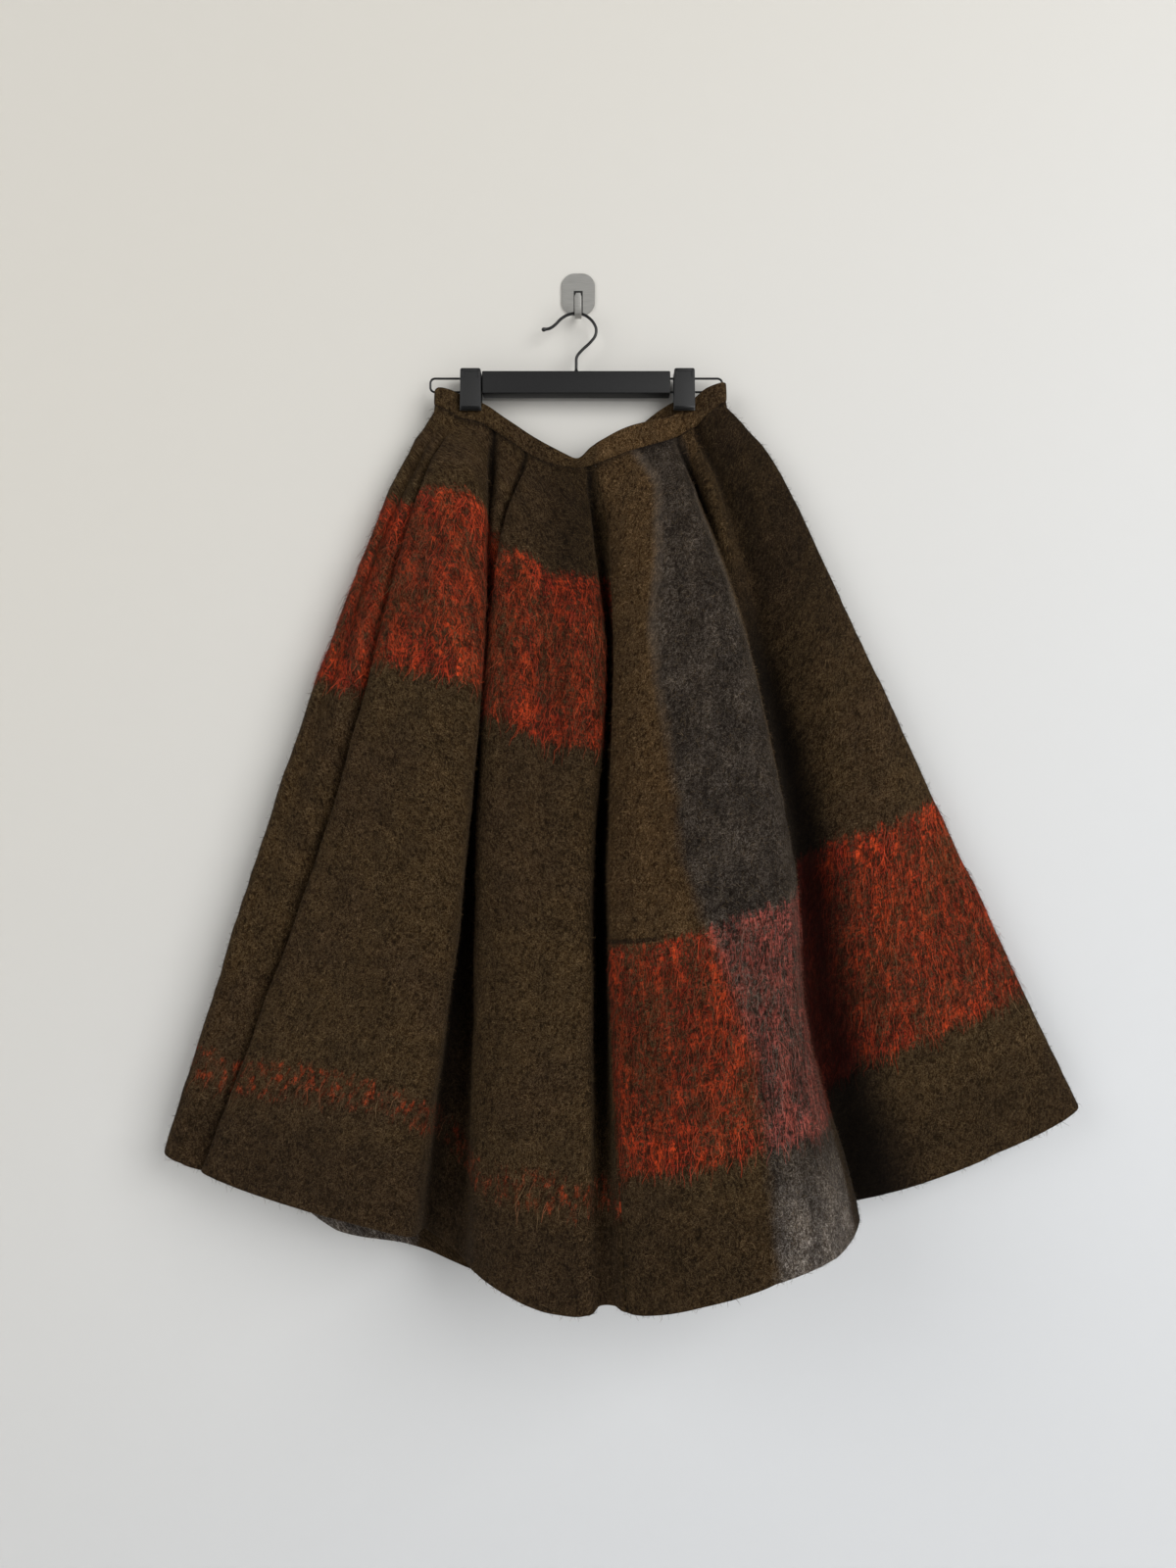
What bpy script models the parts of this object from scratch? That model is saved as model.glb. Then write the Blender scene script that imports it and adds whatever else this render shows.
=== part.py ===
"""Midi skirt of thick brushed wool, clipped to a bar hanger on a small wall hook.

Metres, +Z up. The wall is the plane y = 0 and the room lies towards -Y. The origin is the centre of the
hook plate's back face. The cloth is one closed ring of folds, cut into four panels: each fold is a line
that runs down the cloth, and its height follows from the cloth's length along it.
"""

import math
from collections import namedtuple

import bmesh
import bpy
import numpy as np

MM = 0.001
SHARP_ANGLE = 40

CLOTH_LENGTH = 0.855
CLOTH_THICKNESS = 0.004
SEAM_GAP = 0.0003
BAND_FALL = 0.006
BAND_HOLD = 0.03
LEAST_DROP = 0.3
FINE_ROWS = 285
COLUMN_WIDTH = 0.026
FEWEST_COLUMNS = 3
PANEL_ROWS = (0.0, 0.006, 0.02, 0.04, 0.07, 0.115, 0.175, 0.26, 0.37, 0.50, 0.66, CLOTH_LENGTH)

BAND_THICKNESS = 0.004
BAND_STEPS = 16

HANGER_X = -0.002
HANGER_OUT = 0.018
BAR_LENGTH = 0.204
BAR_DEPTH = 0.018
BAR_TOP = -0.0936
BAR_HEIGHT = 0.0244
BAR_ROUND = 0.0012
HOOK_WIRE = 0.0032
CROOK_STEPS = 4
LOOP_WIRE = 0.0024
LOOP_TOP = -0.0992
LOOP_BOTTOM = -0.1139
LOOP_REACH = 0.159
LOOP_ROUND = 0.005
LOOP_STEPS = 3
CONTACT_GAP = 0.0003

CLIP_WIDTH = 0.0232
CLIP_TOP = -0.0912
CLIP_BOTTOM = -0.1358
CLIP_JAW = 0.0045
CLIP_JAWS_OUT = (0.0134, 0.0246)
CLIP_CENTRES = {"clip_left": -0.1164, "clip_right": 0.1152}
CLIP_ROUND = 0.0008

PLATE_WIDTH = 0.0368
PLATE_HEIGHT = 0.046
PLATE_THICKNESS = 0.0012
PLATE_CORNER = 0.0145
PLATE_STEPS = 6
STRIP_WIDTH = 0.0075
STRIP_THICKNESS = 0.0015
STRIP_STEPS = 3
WELD_DISTANCE = 1e-6

# Distances down the cloth from the waist seam at which the fold tables below give a fold's place.
FOLD_HEIGHTS = (0.0, 0.07, 0.20, 0.45, CLOTH_LENGTH)

# across: mm to the right of the hook at each height. out: mm from the wall at each height below the waist.
# longer: mm by which the cloth has dropped there, past the length of the rest.
# bow: mm to the right halfway between the last two heights, where a fold bends on its way to the hem.
Fold = namedtuple("Fold", "name across out longer bow", defaults=(0, 0))

FRONT_LEFT_FOLDS = (
    Fold("left_edge", (-153.8, -190, -239, -320, -439), (24, 29, 37, 48)),
    Fold("side_strip", (-147, -184, -232, -313, -431), (29, 37, 44, 55)),
    Fold("side_valley", (-143, -178, -228, -305, -420), (24, 30, 40, 56)),
    Fold("second_strip", (-139, -170, -211, -281, -405), (34, 44, 51, 53)),
    Fold("second_valley", (-135, -160, -194, -255, -387), (30, 33, 38, 45)),
    Fold("pleat_one_left", (-131, -160, -196, -259, -395), (42, 50, 56, 61)),
    Fold("pleat_one_face", (-124, -139, -164, -214, -316), (52, 64, 76, 91)),
    Fold("pleat_one_crown", (-109, -117, -126, -156, -230), (55, 72, 96, 119)),
    Fold("pleat_one_right", (-98, -103, -101, -120, -172), (44, 60, 86, 116)),
    Fold("valley_one", (-91, -96, -102, -121, -160), (25, 27, 26, 62)),
    Fold("small_flap", (-70, -85, -95, -112, -140), (42, 24, 23, 68)),
    Fold("flap_valley", (-57, -72, -88, -104, -118), (31, 28, 28, 86)),
    Fold("pleat_two_left", (-50, -76, -93, -105, -100), (48, 54, 66, 124)),
    Fold("pleat_two_face", (-35, -48, -61, -66, -67), (62, 74, 96, 152)),
    Fold("pleat_two_dip", (-18, -24, -32, -39, -39), (57, 73, 102, 166)),
    Fold("pleat_two_crown", (-5, -2, 1, -11, -13), (62, 78, 108, 178)),
    Fold("pleat_two_right", (6, 13, 28, 10, 9), (50, 64, 96, 190)),
    Fold("valley_two", (12, 18, 26, 19, 22), (32, 28, 44, 180), 8),
    Fold("valley_two_bed", (15, 25, 35, 28, 35), (32, 29, 46, 188), 8),
)
FRONT_RIGHT_FOLDS = (
    Fold("centre_front", (19, 32, 39, 32, 47), (43, 54, 88, 205)),
    Fold("pleat_three_left", (26, 38, 41, 36, 64), (54, 75, 110, 214)),
    Fold("pleat_three_face", (53, 67, 77, 88, 112), (68, 96, 148, 236)),
    Fold("pleat_three_crown", (82, 98, 126, 157, 180), (68, 100, 158, 240), bow=-5),
    Fold("pleat_three_turn", (95, 114, 150, 196, 236), (60, 90, 146, 204), bow=-12),
    Fold("pleat_three_right", (101, 123, 165, 211, 286), (46, 72, 118, 104), bow=-16),
    Fold("lip_gap", (109, 133, 171, 218, 288), (30, 46, 76, 80), bow=-16),
    Fold("lip", (119, 140, 176, 222, 284), (44, 37, 46, 60), bow=-14),
    Fold("valley_three", (129, 157, 191, 234, 288), (25, 26, 32, 46), bow=-12),
    Fold("cone_shade", (138, 169, 208, 267, 330), (30, 36, 50, 58), bow=-6),
    Fold("cone_crown", (150, 180, 227, 309, 426), (34, 43, 58, 54)),
    Fold("right_edge", (158.8, 205, 262, 366, 536), (25, 29, 33, 36)),
)
BACK_FOLDS = (
    Fold("right_turn", (153, 203, 259, 361, 530), (14, 15, 17, 20)),
    Fold("back_crest_1", (147, 190, 241, 334, 488), (9, 8, 8, 8)),
    Fold("back_trough_1", (131, 166, 207, 286, 410), (14, 16, 22, 32)),
    Fold("back_crest_2", (111, 136, 167, 222, 332), (9, 8, 8, 8)),
    Fold("back_trough_2", (86, 101, 120, 162, 246), (14, 18, 25, 42)),
    Fold("back_crest_3", (56, 62, 72, 96, 160), (8, 8, 8, 8)),
    Fold("back_trough_3", (26, 26, 28, 46, 76), (15, 20, 32, 56)),
    Fold("centre_back", (-2, -6, -8, -10, -4), (10, 9, 10, 12)),
    Fold("back_crest_4", (-14, -18, -20, -26, -30), (8, 8, 8, 8)),
    Fold("back_trough_4", (-46, -52, -60, -76, -96), (15, 18, 26, 46), 8),
    Fold("back_crest_5", (-76, -90, -107, -140, -176), (8, 8, 9, 30), 14),
    Fold("back_trough_5", (-105, -128, -156, -211, -250), (14, 17, 32, 78), 14),
    Fold("back_crest_6", (-128, -155, -195, -270, -346), (9, 8, 8, 8)),
    Fold("left_back", (-141, -176, -224, -302, -410), (9, 10, 12, 14)),
    Fold("left_turn", (-148, -187, -237, -317, -432), (16, 17, 20, 26)),
)
# Each panel runs from its first fold to the first fold of the next panel, round the ring.
PANEL_STARTS = {
    "front_left_panel": "back_crest_6",
    "front_right_panel": "centre_front",
    "back_right_panel": "back_crest_1",
    "back_left_panel": "centre_back",
}

# Sections of the waistband round its loop: mm to the right, mm from the wall, heights of both its edges.
Section = namedtuple("Section", "across out low top")

FRONT_BAND = (
    Section(-153.8, 24.9, -131, -115),
    Section(-152.9, 27, -131.5, -113.5),
    Section(-150.8, 27.9, -132.5, -112),
    Section(-139, 27.2, -138.5, -113.5),
    Section(-129, 21.7, -143, -116.5),
    Section(-124, 21.5, -144.5, -118),
    Section(-106, 21.5, -149, -125.5),
    Section(-74, 29, -170, -148.5),
    Section(-42, 38, -193, -171.5),
    Section(-14, 44, -202.5, -188),
    Section(0, 45, -204, -193),
    Section(14, 45, -201.5, -181),
    Section(32, 44, -195, -169.5),
    Section(53, 41, -186, -158.5),
    Section(74, 34, -178, -150.5),
    Section(105, 21.5, -165, -139),
    Section(123, 21.5, -155, -124),
    Section(128, 21.7, -153, -120),
    Section(138, 27.2, -144, -113),
    Section(155.8, 27.9, -129.5, -106.5),
    Section(157.9, 27, -128, -106.5),
    Section(158.8, 24.9, -127, -106.5),
)
BACK_BAND = (
    Section(157.9, 22.8, -127, -106.5),
    Section(155.8, 21.9, -128, -107),
    Section(146, 21.7, -133, -110),
    Section(138, 21.7, -137, -115.5),
    Section(128, 16.3, -142, -119),
    Section(123, 16.3, -144, -120),
    Section(105, 16.5, -151, -123.5),
    Section(76, 13.5, -171, -142.5),
    Section(40, 12, -203, -177),
    Section(0, 12, -226, -203),
    Section(-40, 12, -206, -181),
    Section(-74, 13.5, -179, -154),
    Section(-106, 16.5, -153, -128),
    Section(-124, 16.3, -144.5, -119.5),
    Section(-129, 16.3, -143, -119),
    Section(-139, 21.7, -138.5, -116.5),
    Section(-150.8, 21.9, -132.5, -114),
    Section(-152.9, 22.8, -131.5, -114),
)

# The hanger's crook in its own upright plane: mm to the right of the hook, mm above it.
CROOK_ROUTE = (
    (-2.0, -93.3), (-2.0, -84.0), (-1.4, -75.5), (4.4, -68.0), (13.0, -60.0), (18.6, -52.5), (19.6, -44.6),
    (15.4, -36.4), (7.4, -30.0), (-2.0, -27.9), (-11.2, -29.6), (-18.6, -34.0), (-25.0, -40.4),
    (-31.0, -44.4), (-37.6, -45.6),
)
# The wall hook's bent strip seen from the side: mm from the wall, mm above the origin.
STRIP_ROUTE = (
    (1.7, 1.0), (1.7, -10.0), (2.2, -18.0), (4.2, -24.2), (8.4, -29.2), (13.4, -31.1), (18.2, -31.2),
    (22.6, -29.6), (25.6, -25.6), (26.8, -20.6), (27.4, -15.4), (27.8, -10.4),
)

WOOL = (0.065, 0.047, 0.030)
WOOL_BAND = (0.055, 0.040, 0.026)
BLACK = (0.022, 0.022, 0.022)
STEEL = (0.42, 0.42, 0.40)


def clear_scene():
    for old in list(bpy.data.objects):
        bpy.data.objects.remove(old, do_unlink=True)


def new_collection(name):
    made = bpy.data.collections.new(name)
    bpy.context.scene.collection.children.link(made)
    return made


def finish(obj, colour, roughness, metallic=0.0):
    """Gives the object its own plain material and a smooth shade with sharp edges kept."""
    material = bpy.data.materials.new(obj.name)
    material.use_nodes = True
    shader = material.node_tree.nodes["Principled BSDF"]
    shader.inputs["Base Color"].default_value = (*colour, 1.0)
    shader.inputs["Roughness"].default_value = roughness
    shader.inputs["Metallic"].default_value = metallic
    material.diffuse_color = (*colour, 1.0)
    obj.data.materials.clear()
    obj.data.materials.append(material)
    if obj.type == "MESH":
        obj.data.shade_smooth()
        obj.data.set_sharp_from_angle(angle=math.radians(SHARP_ANGLE))
    return obj


def rounded(points, samples, closed=False):
    """Points on the centripetal Catmull-Rom curve through the given ones, samples[i] of them from point i
    to the next, the first point of each stretch included. The last axis holds the coordinates, and an axis
    between holds curves that are worked out side by side."""
    points = np.asarray(points, float)
    count = len(points)
    stretches = count if closed else count - 1
    made = []
    for i in range(stretches):
        before, start, end, after = (points[(i + k) % count] for k in (-1, 0, 1, 2))
        if not closed and i == 0:
            before = 2 * start - end
        if not closed and i == stretches - 1:
            after = 2 * end - start
        knots = [np.zeros_like(start[..., :1])]
        for a, b in ((before, start), (start, end), (end, after)):
            gap = np.linalg.norm(b - a, axis=-1, keepdims=True)
            knots.append(knots[-1] + np.maximum(gap, 1e-6) ** 0.5)
        for k in range(samples[i]):
            t = knots[1] + (knots[2] - knots[1]) * k / samples[i]
            first = blend(before, start, knots[0], knots[1], t)
            second = blend(start, end, knots[1], knots[2], t)
            third = blend(end, after, knots[2], knots[3], t)
            left = blend(first, second, knots[0], knots[2], t)
            right = blend(second, third, knots[1], knots[3], t)
            made.append(blend(left, right, knots[1], knots[2], t))
    if not closed:
        made.append(points[-1])
    return np.array(made)


def blend(a, b, start, end, t):
    return a + (b - a) * (t - start) / (end - start)


def eased(heights, values, at):
    """A curve through the values with no overshoot: monotone cubic, over all rows at once."""
    heights = np.asarray(heights, float)
    values = np.asarray(values, float)
    step = np.diff(heights)
    slope = np.diff(values) / step
    tangent = np.empty(len(values))
    tangent[0] = slope[0]
    tangent[-1] = slope[-1]
    for i in range(1, len(values) - 1):
        same_way = slope[i - 1] * slope[i] > 0
        tangent[i] = 2 * slope[i - 1] * slope[i] / (slope[i - 1] + slope[i]) if same_way else 0.0
    i = np.clip(np.searchsorted(heights, at, side="right") - 1, 0, len(step) - 1)
    t = (at - heights[i]) / step[i]
    return (
        (2 * t**3 - 3 * t**2 + 1) * values[i]
        + (t**3 - 2 * t**2 + t) * step[i] * tangent[i]
        + (3 * t**2 - 2 * t**3) * values[i + 1]
        + (t**3 - t**2) * step[i] * tangent[i + 1]
    )


def band_loop():
    """The waistband's closed loop in metres: rows of across, out, low, top, and where each section lies."""
    sections = np.array(FRONT_BAND + BACK_BAND) * MM
    return rounded(sections, [BAND_STEPS] * len(sections), closed=True)


def place_on_band(loop, across, on_front):
    """The place along the loop, in rows, of a point this far across on its front or its back half."""
    turn = BAND_STEPS * (len(FRONT_BAND) - 1)
    if on_front:
        return np.interp(across, loop[: turn + 1, 0], np.arange(turn + 1))
    back = np.vstack((loop[turn:], loop[:1]))[::-1]
    return np.interp(across, back[:, 0], np.arange(turn, len(loop) + 1)[::-1])


def skirt_rings():
    """The cloth's middle surface as fine rows of points, the column of each fold, and the band's top edge."""
    folds = FRONT_LEFT_FOLDS + FRONT_RIGHT_FOLDS + BACK_FOLDS
    front_count = len(FRONT_LEFT_FOLDS + FRONT_RIGHT_FOLDS)
    heights = np.linspace(0.0, CLOTH_LENGTH, FINE_ROWS + 1)
    flaring = np.maximum(heights - BAND_FALL, 0.0) * CLOTH_LENGTH / (CLOTH_LENGTH - BAND_FALL)
    low_part = (flaring - FOLD_HEIGHTS[-2]) / (FOLD_HEIGHTS[-1] - FOLD_HEIGHTS[-2])
    bowed = np.sin(math.pi * np.clip(low_part, 0, 1)) ** 2
    loop = band_loop()
    places = [place_on_band(loop, fold.across[0] * MM, i < front_count) for i, fold in enumerate(folds)]
    lines = []
    for fold, place in zip(folds, places):
        waist_out = np.interp(place, np.arange(len(loop)), loop[:, 1])
        across = eased(FOLD_HEIGHTS, np.array(fold.across) * MM, flaring) + fold.bow * MM * bowed
        out = eased(FOLD_HEIGHTS, np.array((waist_out / MM, *fold.out)) * MM, flaring)
        lines.append(np.stack((across, out), axis=1))
    lines = np.array(lines)

    hem = lines[:, -1]
    widths = np.linalg.norm(np.roll(hem, -1, axis=0) - hem, axis=1)
    samples = [max(FEWEST_COLUMNS, round(width / COLUMN_WIDTH)) for width in widths]
    for i, fold in enumerate(folds):
        if fold.name in PANEL_STARTS.values():
            samples[i] *= 2
            samples[i - 1] *= 2
    starts = {fold.name: sum(samples[:i]) for i, fold in enumerate(folds)}

    ends = places[1:] + [places[0] + len(loop)]
    along = np.concatenate([
        np.linspace(start, end, count, endpoint=False) for start, end, count in zip(places, ends, samples)
    ])
    whole_loop = np.vstack((loop, loop[:1]))
    band = np.column_stack([
        np.interp(along, np.arange(len(whole_loop)), whole_loop[:, i]) for i in range(whole_loop.shape[1])
    ])
    plan = rounded(lines, samples, closed=True).swapaxes(0, 1)
    near_band = np.clip(1 - flaring / BAND_HOLD, 0, 1) ** 2
    plan += (band[:, :2] - plan[0]) * near_band[:, None, None]

    longer = np.interp(
        np.arange(sum(samples)),
        [starts[fold.name] for fold in folds] + [sum(samples)],
        [fold.longer * MM for fold in folds] + [folds[0].longer * MM],
    )
    step = np.diff(heights)[:, None] * (1 + longer / CLOTH_LENGTH)
    sideways = np.linalg.norm(np.diff(plan, axis=0), axis=2)
    drop = np.sqrt(np.maximum(step**2 - sideways**2, (LEAST_DROP * step) ** 2))
    fallen = np.vstack((np.zeros(len(band)), np.cumsum(drop, axis=0)))
    surface = np.dstack((plan[:, :, 0], -plan[:, :, 1], band[:, 2] - SEAM_GAP - fallen))
    band_top = np.column_stack((band[:, 0], -band[:, 1], band[:, 3]))
    return heights, surface, starts, band_top


def rows_at(heights, surface, wanted):
    """The surface's rows at the wanted distances down the cloth."""
    after = np.clip(np.searchsorted(heights, wanted), 1, len(heights) - 1)
    part_way = (np.array(wanted) - heights[after - 1]) / (heights[after] - heights[after - 1])
    return surface[after - 1] + (surface[after] - surface[after - 1]) * part_way[:, None, None]


def facing_out(grid):
    """Unit normals of a surface that closes round on itself, pointing away from its inside."""
    around = np.roll(grid, -1, axis=1) - np.roll(grid, 1, axis=1)
    down = np.gradient(grid, axis=0)
    normal = np.cross(down, around)
    return normal / np.linalg.norm(normal, axis=2)[:, :, None]


def cloth_wall(name, middle, normal, thickness, collection, joined=False):
    """A closed wall, half its thickness on each side of rows of points. A joined one has no side ends."""
    rows, columns = middle.shape[:2]
    skins = [middle + normal * thickness / 2, middle - normal * thickness / 2]
    inner = rows * columns
    faces = []
    for r in range(rows - 1):
        for c in range(columns if joined else columns - 1):
            a, b = r * columns + c, r * columns + (c + 1) % columns
            faces.append((a, a + columns, b + columns, b))
            faces.append((inner + a, inner + b, inner + b + columns, inner + a + columns))
    for c in range(columns if joined else columns - 1):
        a, b = c, (c + 1) % columns
        faces.append((a, b, inner + b, inner + a))
        a, b = a + (rows - 1) * columns, b + (rows - 1) * columns
        faces.append((a, inner + a, inner + b, b))
    for r in range(0 if joined else rows - 1):
        a, b = r * columns, (r + 1) * columns
        faces.append((a, inner + a, inner + b, b))
        a, b = a + columns - 1, b + columns - 1
        faces.append((a, b, inner + b, inner + a))
    mesh = bpy.data.meshes.new(name)
    mesh.from_pydata(np.concatenate(skins).reshape(-1, 3).tolist(), [], faces)
    obj = bpy.data.objects.new(name, mesh)
    collection.objects.link(obj)
    return obj


def build_panels(heights, surface, starts, collection):
    """Four panels of cloth, parted at the side, centre front and centre back seams."""
    grid = rows_at(heights, surface, PANEL_ROWS)
    normal = facing_out(grid)
    columns = grid.shape[1]
    names = list(PANEL_STARTS)
    for i, name in enumerate(names):
        first = starts[PANEL_STARTS[name]]
        last = starts[PANEL_STARTS[names[(i + 1) % len(names)]]]
        last += columns if last <= first else 0
        stretch = np.arange(first, last + 1) % columns
        panel = grid[:, stretch]
        for edge, beside in ((0, 1), (-1, -2)):
            inward = panel[:, beside] - panel[:, edge]
            inward /= np.linalg.norm(inward, axis=1)[:, None]
            panel[:, edge] += inward * SEAM_GAP / 2
        obj = cloth_wall(name, panel, normal[:, stretch], CLOTH_THICKNESS, collection)
        finish(obj, WOOL, 0.95)


def build_waistband(surface, band_top, collection):
    """The band is a narrow strip of the cloth, standing on the panels' top edges."""
    middle = np.array([band_top, surface[0] + np.array((0.0, 0.0, SEAM_GAP))])
    obj = cloth_wall("waistband", middle, facing_out(middle), BAND_THICKNESS, collection, joined=True)
    finish(obj, WOOL_BAND, 0.95)


def add_wire(name, points, diameter, colour, collection):
    """A round wire along a chain of points, closed at both ends."""
    curve = bpy.data.curves.new(name, "CURVE")
    curve.dimensions = "3D"
    curve.bevel_depth = diameter / 2
    curve.bevel_resolution = 2
    curve.use_fill_caps = True
    spline = curve.splines.new("POLY")
    spline.points.add(len(points) - 1)
    for point, place in zip(spline.points, points):
        point.co = (*place, 1.0)
    obj = bpy.data.objects.new(name, curve)
    collection.objects.link(obj)
    return finish(obj, colour, 0.4, 0.3)


def add_box(name, low, high, rounding, collection):
    """A box between two corners with its edges rounded."""
    low = np.array(low)
    high = np.array(high)
    bpy.ops.mesh.primitive_cube_add(size=1.0)
    obj = bpy.context.object
    obj.name = name
    obj.data.name = name
    for vertex in obj.data.vertices:
        vertex.co = tuple(low + (np.array(vertex.co) + 0.5) * (high - low))
    for owner in list(obj.users_collection):
        owner.objects.unlink(obj)
    collection.objects.link(obj)
    if rounding:
        edge = obj.modifiers.new("Rounded edges", "BEVEL")
        edge.width = rounding
        edge.segments = 2
    return obj


def build_hanger(collection):
    """Bar, crook and the two wire loops that carry the clips."""
    left = HANGER_X - BAR_LENGTH / 2
    right = HANGER_X + BAR_LENGTH / 2
    front = -HANGER_OUT - BAR_DEPTH / 2
    back = -HANGER_OUT + BAR_DEPTH / 2
    bottom = BAR_TOP - BAR_HEIGHT
    bar = add_box("hanger_bar", (left, front, bottom), (right, back, BAR_TOP), BAR_ROUND, collection)
    finish(bar, BLACK, 0.45)

    route = [(x * MM, -HANGER_OUT, z * MM) for x, z in CROOK_ROUTE]
    route = rounded(route, [CROOK_STEPS] * (len(route) - 1))
    add_wire("hanger_hook", route, HOOK_WIRE, BLACK, collection)

    for name, root, way in (("wire_loop_left", left, -1), ("wire_loop_right", right, 1)):
        start = root + way * CONTACT_GAP
        turn = HANGER_X + way * (LOOP_REACH - LOOP_ROUND)
        points = [(start, -HANGER_OUT, LOOP_TOP)]
        for centre_height, first_angle in ((LOOP_TOP - LOOP_ROUND, 90), (LOOP_BOTTOM + LOOP_ROUND, 0)):
            for step in range(LOOP_STEPS + 1):
                angle = math.radians(first_angle - 90 * step / LOOP_STEPS)
                reach = turn + way * LOOP_ROUND * math.cos(angle)
                points.append((reach, -HANGER_OUT, centre_height + LOOP_ROUND * math.sin(angle)))
        points.append((start, -HANGER_OUT, LOOP_BOTTOM))
        add_wire(name, points, LOOP_WIRE, BLACK, collection)


def build_clips(collection, cutters):
    """Each clip is a tall upside-down U that sits on the wire loop and holds both layers of the band."""
    inner, outer = CLIP_JAWS_OUT
    bridge = LOOP_TOP + LOOP_WIRE / 2 + CONTACT_GAP
    for name, centre in CLIP_CENTRES.items():
        low = (centre - CLIP_WIDTH / 2, -outer - CLIP_JAW, CLIP_BOTTOM)
        high = (centre + CLIP_WIDTH / 2, -inner + CLIP_JAW, CLIP_TOP)
        clip = add_box(name, low, high, CLIP_ROUND, collection)
        past = CLIP_WIDTH
        slot_low = (centre - past, -outer, CLIP_BOTTOM - past)
        slot_high = (centre + past, -inner, bridge)
        slot = add_box(name + "_slot", slot_low, slot_high, 0.0, cutters)
        slot.hide_render = True
        slot.display_type = "WIRE"
        cut = clip.modifiers.new("Slot", "BOOLEAN")
        cut.operation = "DIFFERENCE"
        cut.object = slot
        finish(clip, BLACK, 0.5)


def filled_outline(name, points, half_depth, collection):
    """A flat outline, filled and given depth on both sides of its plane, as a welded mesh."""
    curve = bpy.data.curves.new(name, "CURVE")
    curve.dimensions = "2D"
    curve.fill_mode = "BOTH"
    curve.extrude = half_depth
    spline = curve.splines.new("POLY")
    spline.points.add(len(points) - 1)
    for point, (x, y) in zip(spline.points, points):
        point.co = (x, y, 0.0, 1.0)
    spline.use_cyclic_u = True
    source = bpy.data.objects.new(name, curve)
    bpy.context.scene.collection.objects.link(source)
    bpy.context.view_layer.update()
    graph = bpy.context.evaluated_depsgraph_get()
    mesh = bpy.data.meshes.new_from_object(source.evaluated_get(graph))
    bpy.data.objects.remove(source, do_unlink=True)
    shape = bmesh.new()
    shape.from_mesh(mesh)
    bmesh.ops.remove_doubles(shape, verts=shape.verts, dist=WELD_DISTANCE)
    bmesh.ops.recalc_face_normals(shape, faces=shape.faces)
    shape.to_mesh(mesh)
    shape.free()
    mesh.name = name
    obj = bpy.data.objects.new(name, mesh)
    collection.objects.link(obj)
    return obj


def build_wall_hook(collection, cutters):
    """A plate flat on the wall and a strip that bends out of it, forward and up again."""
    corners = []
    for side_x, side_z, start in ((1, 1, 0), (-1, 1, 90), (-1, -1, 180), (1, -1, 270)):
        for step in range(PLATE_STEPS + 1):
            angle = math.radians(start + 90 * step / PLATE_STEPS)
            corners.append((
                side_x * (PLATE_WIDTH / 2 - PLATE_CORNER) + PLATE_CORNER * math.cos(angle),
                side_z * (PLATE_HEIGHT / 2 - PLATE_CORNER) + PLATE_CORNER * math.sin(angle),
            ))
    plate = filled_outline("wall_hook", corners, PLATE_THICKNESS / 2, collection)
    plate.rotation_euler = (math.radians(90), 0, 0)
    plate.location = (0, -PLATE_THICKNESS / 2, 0)

    middle = rounded(np.array(STRIP_ROUTE) * MM, [STRIP_STEPS] * (len(STRIP_ROUTE) - 1))
    along = np.gradient(middle, axis=0)
    along /= np.linalg.norm(along, axis=1)[:, None]
    aside = np.column_stack((-along[:, 1], along[:, 0])) * STRIP_THICKNESS / 2
    outline = np.vstack((middle + aside, (middle - aside)[::-1]))
    strip = filled_outline("hook_strip", outline.tolist(), STRIP_WIDTH / 2, cutters)
    strip.rotation_euler = (math.radians(90), 0, math.radians(-90))
    strip.hide_render = True
    strip.display_type = "WIRE"
    join = plate.modifiers.new("Strip", "BOOLEAN")
    join.operation = "UNION"
    join.object = strip
    finish(plate, STEEL, 0.35, 1.0)


def main():
    clear_scene()
    skirt = new_collection("midi_skirt_on_hanger")
    cutters = new_collection("cutters")
    heights, surface, starts, band_top = skirt_rings()
    build_panels(heights, surface, starts, skirt)
    build_waistband(surface, band_top, skirt)
    build_hanger(skirt)
    build_clips(skirt, cutters)
    build_wall_hook(skirt, cutters)


main()
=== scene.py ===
import math
from collections import namedtuple

import bmesh
import bpy
import numpy as np
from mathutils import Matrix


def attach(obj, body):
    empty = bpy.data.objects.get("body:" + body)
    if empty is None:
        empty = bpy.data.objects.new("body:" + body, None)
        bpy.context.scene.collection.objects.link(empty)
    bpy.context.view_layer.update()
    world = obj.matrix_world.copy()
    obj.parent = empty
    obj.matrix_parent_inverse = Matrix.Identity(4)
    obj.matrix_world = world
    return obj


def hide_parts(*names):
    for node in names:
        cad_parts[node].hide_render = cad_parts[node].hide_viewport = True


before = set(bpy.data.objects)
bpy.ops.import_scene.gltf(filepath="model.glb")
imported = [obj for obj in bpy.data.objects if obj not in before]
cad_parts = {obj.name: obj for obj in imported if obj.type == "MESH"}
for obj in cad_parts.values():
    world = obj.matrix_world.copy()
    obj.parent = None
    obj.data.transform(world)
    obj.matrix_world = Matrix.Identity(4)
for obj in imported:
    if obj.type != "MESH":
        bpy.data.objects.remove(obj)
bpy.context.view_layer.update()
print("frame loaded with", len(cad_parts), "nodes")

mm = 0.001

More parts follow.
